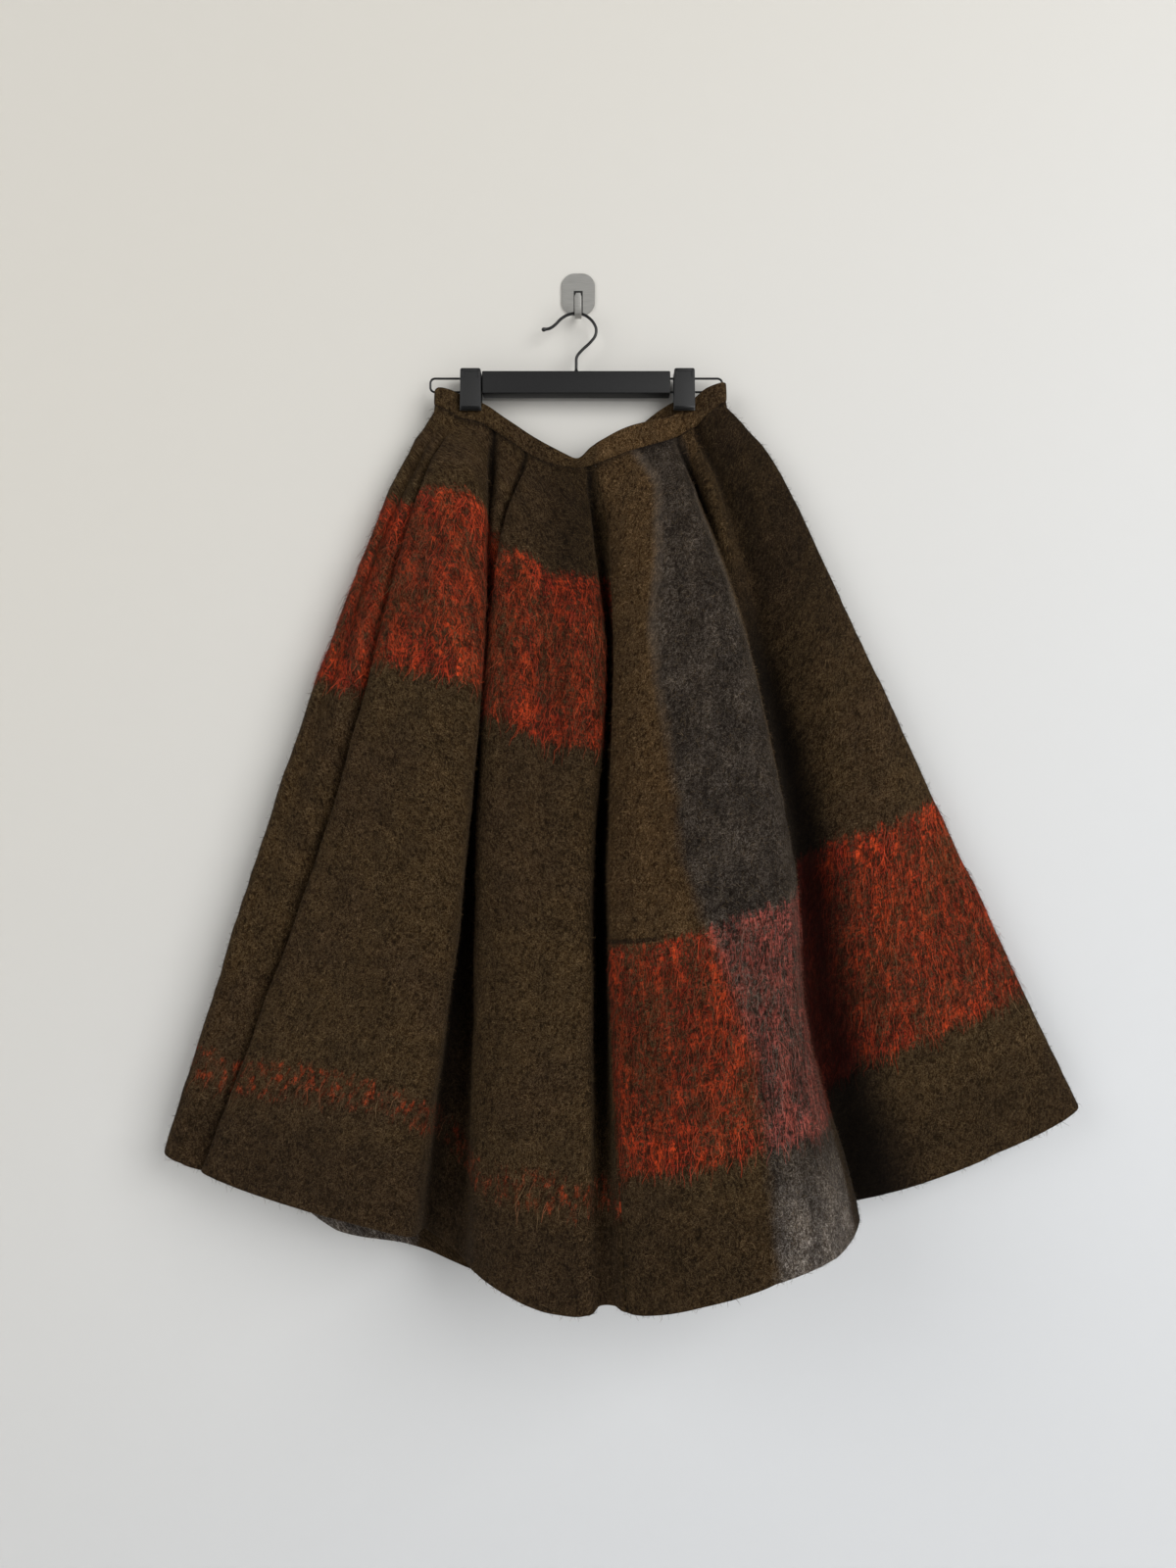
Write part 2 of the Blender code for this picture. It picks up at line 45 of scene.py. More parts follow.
# The cloth hangs in a closed ring of folds. Each fold is a line that runs down the cloth from the waist seam.
clothValues = {
    "length": 0.855,
    "thickness": 0.004,
    "seamGap": 0.0003,
    "bandFall": 0.006,          # the first of the cloth falls straight from the band
    "bandHold": 0.03,           # how far down the band still shapes the cloth
    "leastDrop": 0.3,
    "fineRows": 285,
    "columnWidth": 0.0085,
    "fewestColumns": 6,
    "rowHeight": 0.0052,
    "roundRows": (0.0, 0.0003, 0.0008, 0.0015, 0.0023),     # rows that round the cloth's edges
    "seamDip": 0.0011,          # how deep the cloth sinks at a seam
    "seamWidth": 0.006,
    "underBand": 0.0016,        # the cloth's top edge is caught in the band
    "underBandFall": 0.003,
    "edgeColumns": (0.06, 0.2, 0.5),    # columns that round a panel's sides
    "leastEdge": 0.02,
}
foldHeights = (0.0, 0.07, 0.20, 0.45, clothValues["length"])

# across: mm to the right of the hook at each height, out: mm from the wall at each height below the waist
# bow: mm to the right halfway between the last two heights
Fold = namedtuple("Fold", "name across out longer bow", defaults=(0, 0))

frontLeftFolds = (
    Fold("left_edge", (-153.8, -190, -239, -320, -439), (24, 29, 37, 48)),
    Fold("side_strip", (-147, -184, -232, -313, -431), (29, 37, 44, 55)),
    Fold("side_valley", (-143, -178, -228, -305, -420), (24, 30, 40, 56)),
    Fold("second_strip", (-139, -170, -211, -281, -405), (34, 44, 51, 53)),
    Fold("second_valley", (-135, -160, -194, -255, -387), (30, 33, 38, 45)),
    Fold("pleat_one_left", (-131, -160, -196, -259, -395), (42, 50, 56, 61)),
    Fold("pleat_one_face", (-124, -139, -164, -214, -316), (52, 64, 76, 91)),
    Fold("pleat_one_crown", (-109, -117, -126, -156, -230), (55, 72, 96, 119)),
    Fold("pleat_one_right", (-98, -103, -101, -120, -172), (44, 60, 86, 116)),
    Fold("valley_one", (-91, -96, -102, -121, -160), (25, 27, 26, 62)),
    Fold("small_flap", (-70, -85, -95, -112, -140), (42, 24, 23, 68)),
    Fold("flap_valley", (-57, -72, -88, -104, -118), (31, 28, 28, 86)),
    Fold("pleat_two_left", (-50, -76, -93, -105, -100), (48, 54, 66, 124)),
    Fold("pleat_two_face", (-35, -48, -61, -66, -67), (62, 74, 96, 152)),
    Fold("pleat_two_dip", (-18, -24, -32, -39, -39), (57, 73, 102, 166)),
    Fold("pleat_two_crown", (-5, -2, 1, -11, -13), (62, 78, 108, 178)),
    Fold("pleat_two_right", (6, 13, 28, 10, 9), (50, 64, 96, 190)),
    Fold("valley_two", (12, 18, 26, 19, 22), (32, 28, 44, 180), 8),
    Fold("valley_two_bed", (15, 25, 35, 28, 35), (32, 29, 46, 188), 8),
)
frontRightFolds = (
    Fold("centre_front", (19, 32, 39, 32, 47), (43, 54, 88, 205)),
    Fold("pleat_three_left", (26, 38, 41, 36, 64), (54, 75, 110, 214)),
    Fold("pleat_three_face", (53, 67, 77, 88, 112), (68, 96, 148, 236)),
    Fold("pleat_three_crown", (82, 98, 126, 157, 180), (68, 100, 158, 240), bow=-5),
    Fold("pleat_three_turn", (95, 114, 150, 196, 236), (60, 90, 146, 204), bow=-12),
    Fold("pleat_three_right", (101, 123, 165, 211, 286), (46, 72, 118, 104), bow=-16),
    Fold("lip_gap", (109, 133, 171, 218, 288), (30, 46, 76, 80), bow=-16),
    Fold("lip", (119, 140, 176, 222, 284), (44, 37, 46, 60), bow=-14),
    Fold("valley_three", (129, 157, 191, 234, 288), (25, 26, 32, 46), bow=-12),
    Fold("cone_shade", (138, 169, 208, 267, 330), (30, 36, 50, 58), bow=-6),
    Fold("cone_crown", (150, 180, 227, 309, 426), (34, 43, 58, 54)),
    Fold("right_edge", (158.8, 205, 262, 366, 536), (25, 29, 33, 36)),
)
backFolds = (
    Fold("right_turn", (153, 203, 259, 361, 530), (14, 15, 17, 20)),
    Fold("back_crest_1", (147, 190, 241, 334, 488), (9, 8, 8, 8)),
    Fold("back_trough_1", (131, 166, 207, 286, 410), (14, 16, 22, 32)),
    Fold("back_crest_2", (111, 136, 167, 222, 332), (9, 8, 8, 8)),
    Fold("back_trough_2", (86, 101, 120, 162, 246), (14, 18, 25, 42)),
    Fold("back_crest_3", (56, 62, 72, 96, 160), (8, 8, 8, 8)),
    Fold("back_trough_3", (26, 26, 28, 46, 76), (15, 20, 32, 56)),
    Fold("centre_back", (-2, -6, -8, -10, -4), (10, 9, 10, 12)),
    Fold("back_crest_4", (-14, -18, -20, -26, -30), (8, 8, 8, 8)),
    Fold("back_trough_4", (-46, -52, -60, -76, -96), (15, 18, 26, 46), 8),
    Fold("back_crest_5", (-76, -90, -107, -140, -176), (8, 8, 9, 30), 14),
    Fold("back_trough_5", (-105, -128, -156, -211, -250), (14, 17, 32, 78), 14),
    Fold("back_crest_6", (-128, -155, -195, -270, -346), (9, 8, 8, 8)),
    Fold("left_back", (-141, -176, -224, -302, -410), (9, 10, 12, 14)),
    Fold("left_turn", (-148, -187, -237, -317, -432), (16, 17, 20, 26)),
)

# Sections of the waistband round its loop: mm to the right, mm from the wall, heights of both its edges.
Section = namedtuple("Section", "across out low top")

frontBand = (
    Section(-153.8, 24.9, -131, -115),
    Section(-152.9, 27, -131.5, -113.5),
    Section(-150.8, 27.9, -132.5, -112),
    Section(-139, 27.2, -138.5, -113.5),
    Section(-129, 21.7, -143, -116.5),
    Section(-124, 21.5, -144.5, -118),
    Section(-106, 21.5, -149, -125.5),
    Section(-74, 29, -170, -148.5),
    Section(-42, 38, -193, -171.5),
    Section(-14, 44, -202.5, -188),
    Section(0, 45, -204, -193),
    Section(14, 45, -201.5, -181),
    Section(32, 44, -195, -169.5),
    Section(53, 41, -186, -158.5),
    Section(74, 34, -178, -150.5),
    Section(105, 21.5, -165, -139),
    Section(123, 21.5, -155, -124),
    Section(128, 21.7, -153, -120),
    Section(138, 27.2, -144, -113),
    Section(155.8, 27.9, -129.5, -106.5),
    Section(157.9, 27, -128, -106.5),
    Section(158.8, 24.9, -127, -106.5),
)
backBand = (
    Section(157.9, 22.8, -127, -106.5),
    Section(155.8, 21.9, -128, -107),
    Section(146, 21.7, -133, -110),
    Section(138, 21.7, -137, -115.5),
    Section(128, 16.3, -142, -119),
    Section(123, 16.3, -144, -120),
    Section(105, 16.5, -151, -123.5),
    Section(76, 13.5, -171, -142.5),
    Section(40, 12, -203, -177),
    Section(0, 12, -226, -203),
    Section(-40, 12, -206, -181),
    Section(-74, 13.5, -179, -154),
    Section(-106, 16.5, -153, -128),
    Section(-124, 16.3, -144.5, -119.5),
    Section(-129, 16.3, -143, -119),
    Section(-139, 21.7, -138.5, -116.5),
    Section(-150.8, 21.9, -132.5, -114),
    Section(-152.9, 22.8, -131.5, -114),
)

def blend(a, b, start, end, t):
    return a + (b - a) * (t - start) / (end - start)


def rounded(points, samples, closed=False):
    # centripetal Catmull-Rom curve, samples[i] points from point i on
    points = np.asarray(points, float)
    count = len(points)
    made = []
    for i in range(count if closed else count - 1):
        before, start, end, after = (points[(i + k) % count] for k in (-1, 0, 1, 2))
        if not closed and i == 0:
            before = 2 * start - end
        if not closed and i == count - 2:
            after = 2 * end - start
        knots = [np.zeros_like(start[..., :1])]
        for a, b in ((before, start), (start, end), (end, after)):
            gap = np.linalg.norm(b - a, axis=-1, keepdims=True)
            knots.append(knots[-1] + np.maximum(gap, 1e-6) ** 0.5)
        for k in range(samples[i]):
            t = knots[1] + (knots[2] - knots[1]) * k / samples[i]
            first = blend(before, start, knots[0], knots[1], t)
            second = blend(start, end, knots[1], knots[2], t)
            third = blend(end, after, knots[2], knots[3], t)
            left = blend(first, second, knots[0], knots[2], t)
            right = blend(second, third, knots[1], knots[3], t)
            made.append(blend(left, right, knots[1], knots[2], t))
    if not closed:
        made.append(points[-1])
    return np.array(made)


def eased(heights, values, at):
    # monotone cubic through the values, no overshoot
    heights = np.asarray(heights, float)
    values = np.asarray(values, float)
    step = np.diff(heights)
    slope = np.diff(values) / step
    tangent = np.empty(len(values))
    tangent[0] = slope[0]
    tangent[-1] = slope[-1]
    for i in range(1, len(values) - 1):
        sameWay = slope[i - 1] * slope[i] > 0
        tangent[i] = 2 * slope[i - 1] * slope[i] / (slope[i - 1] + slope[i]) if sameWay else 0.0
    i = np.clip(np.searchsorted(heights, at, side="right") - 1, 0, len(step) - 1)
    t = (at - heights[i]) / step[i]
    return ((2 * t**3 - 3 * t**2 + 1) * values[i] + (t**3 - 2 * t**2 + t) * step[i] * tangent[i]
            + (3 * t**2 - 2 * t**3) * values[i + 1] + (t**3 - t**2) * step[i] * tangent[i + 1])


def smoothStep(low, high, value):
    t = np.clip((value - low) / (high - low), 0, 1)
    return t * t * (3 - 2 * t)


bandSteps = 16                  # points between two sections of the band


def bandLoop():
    sections = np.array(frontBand + backBand) * mm
    return rounded(sections, [bandSteps] * len(sections), closed=True)


def placeOnBand(loop, across, onFront):
    turn = bandSteps * (len(frontBand) - 1)
    if onFront:
        return np.interp(across, loop[:turn + 1, 0], np.arange(turn + 1))
    back = np.vstack((loop[turn:], loop[:1]))[::-1]
    return np.interp(across, back[:, 0], np.arange(turn, len(loop) + 1)[::-1])


def skirtRings():
    # the cloth's middle surface as rows of points, the column of each fold, and the band's top edge
    v = clothValues
    folds = frontLeftFolds + frontRightFolds + backFolds
    frontCount = len(frontLeftFolds + frontRightFolds)
    heights = np.linspace(0.0, v["length"], v["fineRows"] + 1)
    flaring = np.maximum(heights - v["bandFall"], 0.0) * v["length"] / (v["length"] - v["bandFall"])
    lowPart = (flaring - foldHeights[-2]) / (foldHeights[-1] - foldHeights[-2])
    bowed = np.sin(math.pi * np.clip(lowPart, 0, 1)) ** 2
    loop = bandLoop()
    places = [placeOnBand(loop, fold.across[0] * mm, i < frontCount) for i, fold in enumerate(folds)]
    lines = []
    for fold, place in zip(folds, places):
        waistOut = np.interp(place, np.arange(len(loop)), loop[:, 1])
        across = eased(foldHeights, np.array(fold.across) * mm, flaring) + fold.bow * mm * bowed
        out = eased(foldHeights, np.array((waistOut / mm, *fold.out)) * mm, flaring)
        lines.append(np.stack((across, out), axis=1))
    lines = np.array(lines)

    hem = lines[:, -1]
    widths = np.linalg.norm(np.roll(hem, -1, axis=0) - hem, axis=1)
    samples = [max(v["fewestColumns"], round(width / v["columnWidth"])) for width in widths]
    starts = {fold.name: sum(samples[:i]) for i, fold in enumerate(folds)}

    ends = places[1:] + [places[0] + len(loop)]
    along = np.concatenate([
        np.linspace(start, end, count, endpoint=False) for start, end, count in zip(places, ends, samples)
    ])
    wholeLoop = np.vstack((loop, loop[:1]))
    band = np.column_stack([np.interp(along, np.arange(len(wholeLoop)), wholeLoop[:, i]) for i in range(4)])
    plan = rounded(lines, samples, closed=True).swapaxes(0, 1)
    nearBand = np.clip(1 - flaring / v["bandHold"], 0, 1) ** 2
    plan += (band[:, :2] - plan[0]) * nearBand[:, None, None]

    longer = np.interp(
        np.arange(sum(samples)),
        [starts[fold.name] for fold in folds] + [sum(samples)],
        [fold.longer * mm for fold in folds] + [folds[0].longer * mm],
    )
    step = np.diff(heights)[:, None] * (1 + longer / v["length"])
    sideways = np.linalg.norm(np.diff(plan, axis=0), axis=2)
    drop = np.sqrt(np.maximum(step**2 - sideways**2, (v["leastDrop"] * step) ** 2))
    fallen = np.vstack((np.zeros(len(band)), np.cumsum(drop, axis=0)))
    surface = np.dstack((plan[:, :, 0], -plan[:, :, 1], band[:, 2] - v["seamGap"] - fallen))
    bandTop = np.column_stack((band[:, 0], -band[:, 1], band[:, 3]))
    return heights, surface, starts, bandTop


def rowsAt(heights, surface, wanted):
    after = np.clip(np.searchsorted(heights, wanted), 1, len(heights) - 1)
    partWay = (np.array(wanted) - heights[after - 1]) / (heights[after] - heights[after - 1])
    return surface[after - 1] + (surface[after] - surface[after - 1]) * partWay[:, None, None]


def facingOut(grid):
    around = np.roll(grid, -1, axis=1) - np.roll(grid, 1, axis=1)
    down = np.gradient(grid, axis=0)
    normal = np.cross(down, around)
    return normal / np.linalg.norm(normal, axis=2)[:, :, None]


def softNoise(across, down, size, seed):
    # smooth value noise over the flat cloth, from -1 to 1, with bumps of about this size
    table = np.random.default_rng(seed).uniform(-1, 1, (64, 64))
    x = across / size
    y = down / size
    i = np.floor(x).astype(int)
    j = np.floor(y).astype(int)
    s = x - i
    t = y - j
    s = s * s * (3 - 2 * s)
    t = t * t * (3 - 2 * t)
    low = table[i % 64, j % 64] * (1 - s) + table[(i + 1) % 64, j % 64] * s
    high = table[i % 64, (j + 1) % 64] * (1 - s) + table[(i + 1) % 64, (j + 1) % 64] * s
    return low * (1 - t) + high * t


def alongRing(surface, starts):
    # length along the cloth from the centre front seam, to the right and on round the back
    first = starts["centre_front"]
    gaps = np.linalg.norm(np.roll(surface, -1, axis=1) - surface, axis=2)
    gaps = np.roll(gaps, -first, axis=1)
    around = np.cumsum(gaps, axis=1) - gaps
    return np.roll(around, first, axis=1), gaps.sum(axis=1)


# stripes woven into the cloth, in metres down the cloth from the waist seam
BandEdge = namedtuple("BandEdge", "fold mainTop mainLow thinTop thinLow")
leftBands = (
    BandEdge("centre_back", 0.104, 0.310, 0.730, 0.762),
    BandEdge("left_turn", 0.112, 0.322, 0.735, 0.765),
    BandEdge("left_edge", 0.114, 0.324, 0.735, 0.765),
    BandEdge("second_valley", 0.112, 0.318, 0.733, 0.768),
    BandEdge("pleat_one_left", 0.096, 0.286, 0.729, 0.771),
    BandEdge("pleat_one_face", 0.094, 0.288, 0.713, 0.750),
    BandEdge("pleat_one_crown", 0.094, 0.294, 0.713, 0.741),
    BandEdge("valley_one", 0.100, 0.290, 0.728, 0.757),
    BandEdge("pleat_two_left", 0.108, 0.288, 0.741, 0.774),
    BandEdge("pleat_two_face", 0.109, 0.288, 0.737, 0.772),
    BandEdge("pleat_two_dip", 0.122, 0.297, 0.726, 0.762),
    BandEdge("pleat_two_right", 0.120, 0.303, 0.735, 0.768),
    BandEdge("centre_front", 0.120, 0.303, 0.744, 0.774),
)
rightBands = (
    BandEdge("centre_front", 0.512, 0.732, 1.0, 1.0),
    BandEdge("pleat_three_left", 0.513, 0.729, 1.0, 1.0),
    BandEdge("pleat_three_face", 0.525, 0.735, 1.0, 1.0),
    BandEdge("pleat_three_crown", 0.522, 0.738, 1.0, 1.0),
    BandEdge("pleat_three_turn", 0.522, 0.744, 1.0, 1.0),
    BandEdge("valley_three", 0.486, 0.732, 1.0, 1.0),
    BandEdge("cone_shade", 0.477, 0.714, 1.0, 1.0),
    BandEdge("cone_crown", 0.486, 0.711, 1.0, 1.0),
    BandEdge("right_edge", 0.490, 0.717, 1.0, 1.0),
    BandEdge("centre_back", 0.500, 0.725, 1.0, 1.0),
)
# the grey stripe runs down the cloth: its distance from the centre front seam on its left and right sides
GreyEdge = namedtuple("GreyEdge", "down left right")
greyStripe = (
    GreyEdge(0.0, 0.045, 0.099),
    GreyEdge(0.057, 0.068, 0.120),
    GreyEdge(0.126, 0.073, 0.141),
    GreyEdge(0.201, 0.067, 0.163),
    GreyEdge(0.282, 0.080, 0.196),
    GreyEdge(0.351, 0.095, 0.211),
    GreyEdge(0.453, 0.108, 0.256),
    GreyEdge(0.504, 0.123, 0.261),
    GreyEdge(0.576, 0.143, 0.268),
    GreyEdge(0.657, 0.157, 0.276),
    GreyEdge(0.744, 0.153, 0.283),
    GreyEdge(0.855, 0.151, 0.291),
)

# creases pressed into the cloth, in metres right of the centre front seam and down the cloth
Crease = namedtuple("Crease", "fromRight fromDown toRight toDown width depth")
creases = (
    Crease(-0.205, 0.26, -0.165, 0.60, 0.010, -0.0022),
    Crease(-0.060, 0.05, -0.085, 0.30, 0.009, -0.0020),
    Crease(-0.115, 0.42, -0.150, 0.74, 0.013, 0.0022),
    Crease(-0.090, 0.50, -0.060, 0.82, 0.012, -0.0022),
    Crease(-0.030, 0.10, -0.045, 0.34, 0.008, 0.0016),
    Crease(0.052, 0.16, 0.070, 0.47, 0.011, -0.0020),
    Crease(0.110, 0.40, 0.130, 0.70, 0.013, 0.0020),
    Crease(0.085, 0.55, 0.075, 0.80, 0.012, -0.0022),
    Crease(0.180, 0.48, 0.215, 0.72, 0.012, -0.0018),
    Crease(0.330, 0.22, 0.430, 0.56, 0.013, -0.0024),
    Crease(0.400, 0.36, 0.520, 0.74, 0.015, 0.0024),
    Crease(0.450, 0.50, 0.600, 0.80, 0.014, -0.0022),
    Crease(-0.420, 0.34, -0.520, 0.70, 0.012, -0.0020),
    Crease(-0.330, 0.30, -0.380, 0.62, 0.012, 0.0020),
    Crease(-0.560, 0.44, -0.660, 0.78, 0.013, -0.0022),
    Crease(0.700, 0.30, 0.780, 0.66, 0.013, -0.0022),
    Crease(0.860, 0.24, 0.960, 0.58, 0.013, 0.0022),
    Crease(1.020, 0.40, 1.100, 0.78, 0.014, -0.0022),
    Crease(-0.760, 0.26, -0.860, 0.62, 0.013, -0.0022),
    Crease(-0.960, 0.40, -1.060, 0.76, 0.014, 0.0022),
)
# folds pinched in under the waistband, along the lines of the folds, with the shade painted in them; rows
# without a dent are only painted shade, on pleat two's top and on the cone beside valley three
Pinch = namedtuple("Pinch", "fold shift width until dent shade")
pinches = (
    Pinch("valley_one", 0.000, 0.0060, 0.100, 0.0045, 0.95),
    Pinch("flap_valley", 0.000, 0.0045, 0.150, 0.0035, 0.90),
    Pinch("pleat_two_right", -0.012, 0.0035, 0.040, 0.0020, 0.50),
    Pinch("valley_two", 0.000, 0.0050, 0.140, 0.0045, 0.95),
    Pinch("lip_gap", 0.000, 0.0045, 0.150, 0.0040, 0.95),
    Pinch("valley_three", 0.000, 0.0070, 0.160, 0.0035, 0.80),
    Pinch("pleat_two_crown", 0.000, 0.0450, 0.220, 0.0, 0.58),
    Pinch("pleat_two_crown", -0.010, 0.0550, 0.520, 0.0, 0.24),
    Pinch("valley_three", 0.060, 0.0650, 0.420, 0.0, 0.62),
    Pinch("valley_three", 0.020, 0.0280, 0.320, 0.0, 0.68),
)
lumpValues = {"broad": 0.0011, "broadSize": 0.055, "fine": 0.00045, "fineSize": 0.016}


def pressed(right, down):
    # how far the cloth stands out of its smooth fold at each point
    out = np.zeros_like(right)
    nearSeam = smoothStep(0.0, 0.03, down)
    for c in creases:
        alongX = c.toRight - c.fromRight
        alongY = c.toDown - c.fromDown
        length = math.hypot(alongX, alongY)
        t = ((right - c.fromRight) * alongX + (down - c.fromDown) * alongY) / length**2
        bow = 0.06 * length * np.sin(math.pi * np.clip(t, 0, 1))
        off = ((right - c.fromRight) * alongY - (down - c.fromDown) * alongX) / length - bow
        taper = np.sin(math.pi * np.clip(t, 0, 1)) ** 0.8
        out += c.depth * taper * np.exp(-(off / c.width) ** 2)
    v = lumpValues
    out += v["broad"] * softNoise(right, down, v["broadSize"], 3) * nearSeam
    out += v["fine"] * softNoise(right, down, v["fineSize"], 4) * nearSeam
    return out


def gridFaces(rows, columns):
    a = (np.arange(rows - 1)[:, None] * columns + np.arange(columns - 1)).ravel()
    return np.stack((a, a + columns, a + columns + 1, a + 1), axis=1)


def pairs(first, second):
    # two values at each point, as UV coordinates
    return np.stack(np.broadcast_arrays(first, second), axis=-1).reshape(-1, 2)


def placed(name, data):
    made = bpy.data.objects.new(name, data)
    bpy.context.scene.collection.objects.link(made)
    return made


def meshPiece(name, points, quads, uvMaps, material):
    # one mesh object from quads, with a UV map per name from values at the points
    mesh = bpy.data.meshes.new(name)
    mesh.vertices.add(len(points))
    mesh.vertices.foreach_set("co", np.ascontiguousarray(points, np.float32).ravel())
    mesh.loops.add(quads.size)
    mesh.loops.foreach_set("vertex_index", np.ascontiguousarray(quads, np.int32).ravel())
    mesh.polygons.add(len(quads))
    mesh.polygons.foreach_set("loop_start", np.arange(0, quads.size, 4, dtype=np.int32))
    mesh.update(calc_edges=True)
    mesh.validate()
    for mapName, values in uvMaps.items():
        layer = mesh.uv_layers.new(name=mapName)
        layer.data.foreach_set("uv", np.ascontiguousarray(values[quads.ravel()], np.float32).ravel())
    mesh.shade_smooth()
    mesh.materials.append(material)
    return placed(name, mesh)


def atColumns(grid, wanted):
    # values of a grid part way between its columns
    low = np.clip(np.floor(wanted).astype(int), 0, grid.shape[1] - 2)
    part = wanted - low
    part = part.reshape(1, -1, *([1] * (grid.ndim - 2)))
    return grid[:, low] * (1 - part) + grid[:, low + 1] * part


def bandDistances(table, starts, columnCount, fromColumn, columns, down):
    # how far inside the woven cross bands each point lies, below zero outside
    def unrolled(name):
        return starts[name] + (columnCount if starts[name] < fromColumn else 0)
    at = [unrolled(edge.fold) for edge in table]
    if at[-1] <= at[0]:
        at[-1] += columnCount
    mainTop, mainLow, thinTop, thinLow = (
        np.interp(columns, at, [edge[k] for edge in table])[None, :] for k in range(1, 5)
    )
    main = np.minimum(down - mainTop, mainLow - down)
    thin = np.minimum(down - thinTop, thinLow - down)
    return np.maximum(main, thin)


# painted shade: how dark the cloth is painted deep in its folds and under the waistband
shadeValues = {
    "columns": 60,                      # how many columns to each side can shade a point
    "reach": 0.14,
    "slope": 0.9,
    "heights": (0.0, 0.15, 0.5),
    "shallow": (0.005, 0.008, 0.012),   # depth in a fold where the shade starts, at each height
    "deep": (0.024, 0.040, 0.070),      # depth where it is full
    "belowBand": 0.012,
    "facing": (0.35, -0.1),
    "underBand": 0.8,                   # painted shade: the dark line right under the waistband
    "underBandHeight": 0.0035,
}


def paintedShadeInFolds(middle, normal, down):
    # how deep each point lies below the crests beside it, as painted shade: 0 on a crest and 1 deep in a fold
    v = shadeValues
    out = -middle[:, :, 1]
    across = middle[:, :, 0]
    highest = out.copy()
    for step in range(1, v["columns"]):
        for way in (step, -step):
            beside = np.abs(np.roll(across, way, axis=1) - across)
            crest = np.roll(out, way, axis=1) - v["slope"] * beside
            highest = np.maximum(highest, np.where(beside < v["reach"], crest, 0.0))
    shallow, deepest = (np.interp(down, v["heights"], v[k])[:, None] for k in ("shallow", "deep"))
    deep = smoothStep(shallow, deepest, highest - out) * smoothStep(0.0, v["belowBand"], down)[:, None]
    return deep * smoothStep(*v["facing"], normal[:, :, 1])


def pinchedFolds(around, starts, down):
    # the dents of the folds under the waistband, and the shade painted in them and in a line under the band
    v = shadeValues
    dent = np.zeros_like(around)
    shade = np.zeros_like(around)
    for p in pinches:
        off = around - around[:, [starts[p.fold]]] - p.shift
        mask = np.exp(-(off / p.width) ** 2) * smoothStep(p.until, 0.4 * p.until, down)[:, None]
        dent -= p.dent * mask
        shade = np.maximum(shade, p.shade * mask)
    underBand = v["underBand"] * np.exp(-(down / v["underBandHeight"]) ** 2)[:, None]
    return dent, np.maximum(shade, underBand)


def keptThickness(inset, radius):
    # the share of its thickness that a rounded edge has this far in from its end
    return np.sqrt(np.clip(1 - (1 - np.clip(inset / radius, 0, 1)) ** 2, clothValues["leastEdge"], 1))


def clothPanel(panel, material, ring):
    # a panel of the cloth as a thin shell with both its skins and rounded edges
    v = clothValues
    starts = ring["starts"]
    columnCount = ring["middle"].shape[1]
    first = starts[panel.firstFold]
    last = starts[panel.lastFold]
    if last <= first:
        last += columnCount
    count = last - first
    edge = np.array(v["edgeColumns"])
    wanted = np.concatenate(((0,), edge, np.arange(1, count), count - edge[::-1], (count,)))
    stretch = np.arange(first, last + 1) % columnCount
    middle, normal, pinch, grey, deep = (
        atColumns(ring[name][:, stretch], wanted) for name in ("middle", "normal", "pinch", "grey", "deep")
    )
    normal /= np.linalg.norm(normal, axis=2, keepdims=True)
    gaps = np.linalg.norm(np.diff(middle, axis=1), axis=2)
    along = np.hstack((np.zeros((len(middle), 1)), np.cumsum(gaps, axis=1)))
    across = along[:, -1:]
    right = along + (-across if panel.lastFold == "centre_front" else ring["around"][:, [first]])
    down = np.repeat(ring["down"][:, None], right.shape[1], axis=1)

    inward = np.zeros_like(middle)
    for side, beside in ((0, 4), (-1, -5)):
        inward[:, side] = middle[:, beside] - middle[:, side]
        inward[:, side] /= np.linalg.norm(inward[:, side], axis=1)[:, None]
    middle = middle + inward * v["seamGap"] / 2
    middle[:, :, 2] += v["underBand"] * np.clip(1 - down / v["underBandFall"], 0, 1)

    half = v["thickness"] / 2
    fromSide = np.minimum(along, across - along)
    fromEnd = np.minimum(down, v["length"] - down)
    thick = (half * keptThickness(fromSide, half) * keptThickness(fromEnd, half))[:, :, None] * normal
    sunk = -v["seamDip"] * np.exp(-(fromSide / v["seamWidth"]) ** 2)
    raised = middle + (pressed(right, down) + pinch + sunk)[:, :, None] * normal
    skins = np.stack((raised + thick, raised - thick))

    rows, columns = right.shape
    n = rows * columns
    outer = gridFaces(rows, columns)
    top = np.arange(columns - 1)
    low = top + (rows - 1) * columns
    left = np.arange(rows - 1) * columns
    rightSide = left + columns - 1
    closing = np.vstack((
        np.stack((top, top + 1, top + 1 + n, top + n), axis=1),
        np.stack((low, low + n, low + 1 + n, low + 1), axis=1),
        np.stack((left, left + n, left + columns + n, left + columns), axis=1),
        np.stack((rightSide, rightSide + columns, rightSide + columns + n, rightSide + n), axis=1),
    ))
    orange = bandDistances(panel.bands, starts, columnCount, starts[panel.bandsFrom], first + wanted, down)
    uvMaps = {"flat": pairs(right, down), "bands": pairs(orange, grey),
              "strand": np.tile((0.5, 0.0), (n, 1)), "shade": pairs(deep, 0.0)}
    piece = meshPiece(
        panel.node + "_cloth", skins.reshape(-1, 3), np.vstack((outer, outer[:, ::-1] + n, closing)),
        {name: np.vstack((values, values)) for name, values in uvMaps.items()}, material,
    )
    area = float(np.sum(np.diff(down[:, 0]) * (across[1:, 0] + across[:-1, 0]) / 2))
    face = {"skin": skins[0], "normal": normal, "right": right, "down": down, "orange": orange, "grey": grey,
            "deep": deep, "area": area, "width": float(across[-1, 0])}
    return piece, face


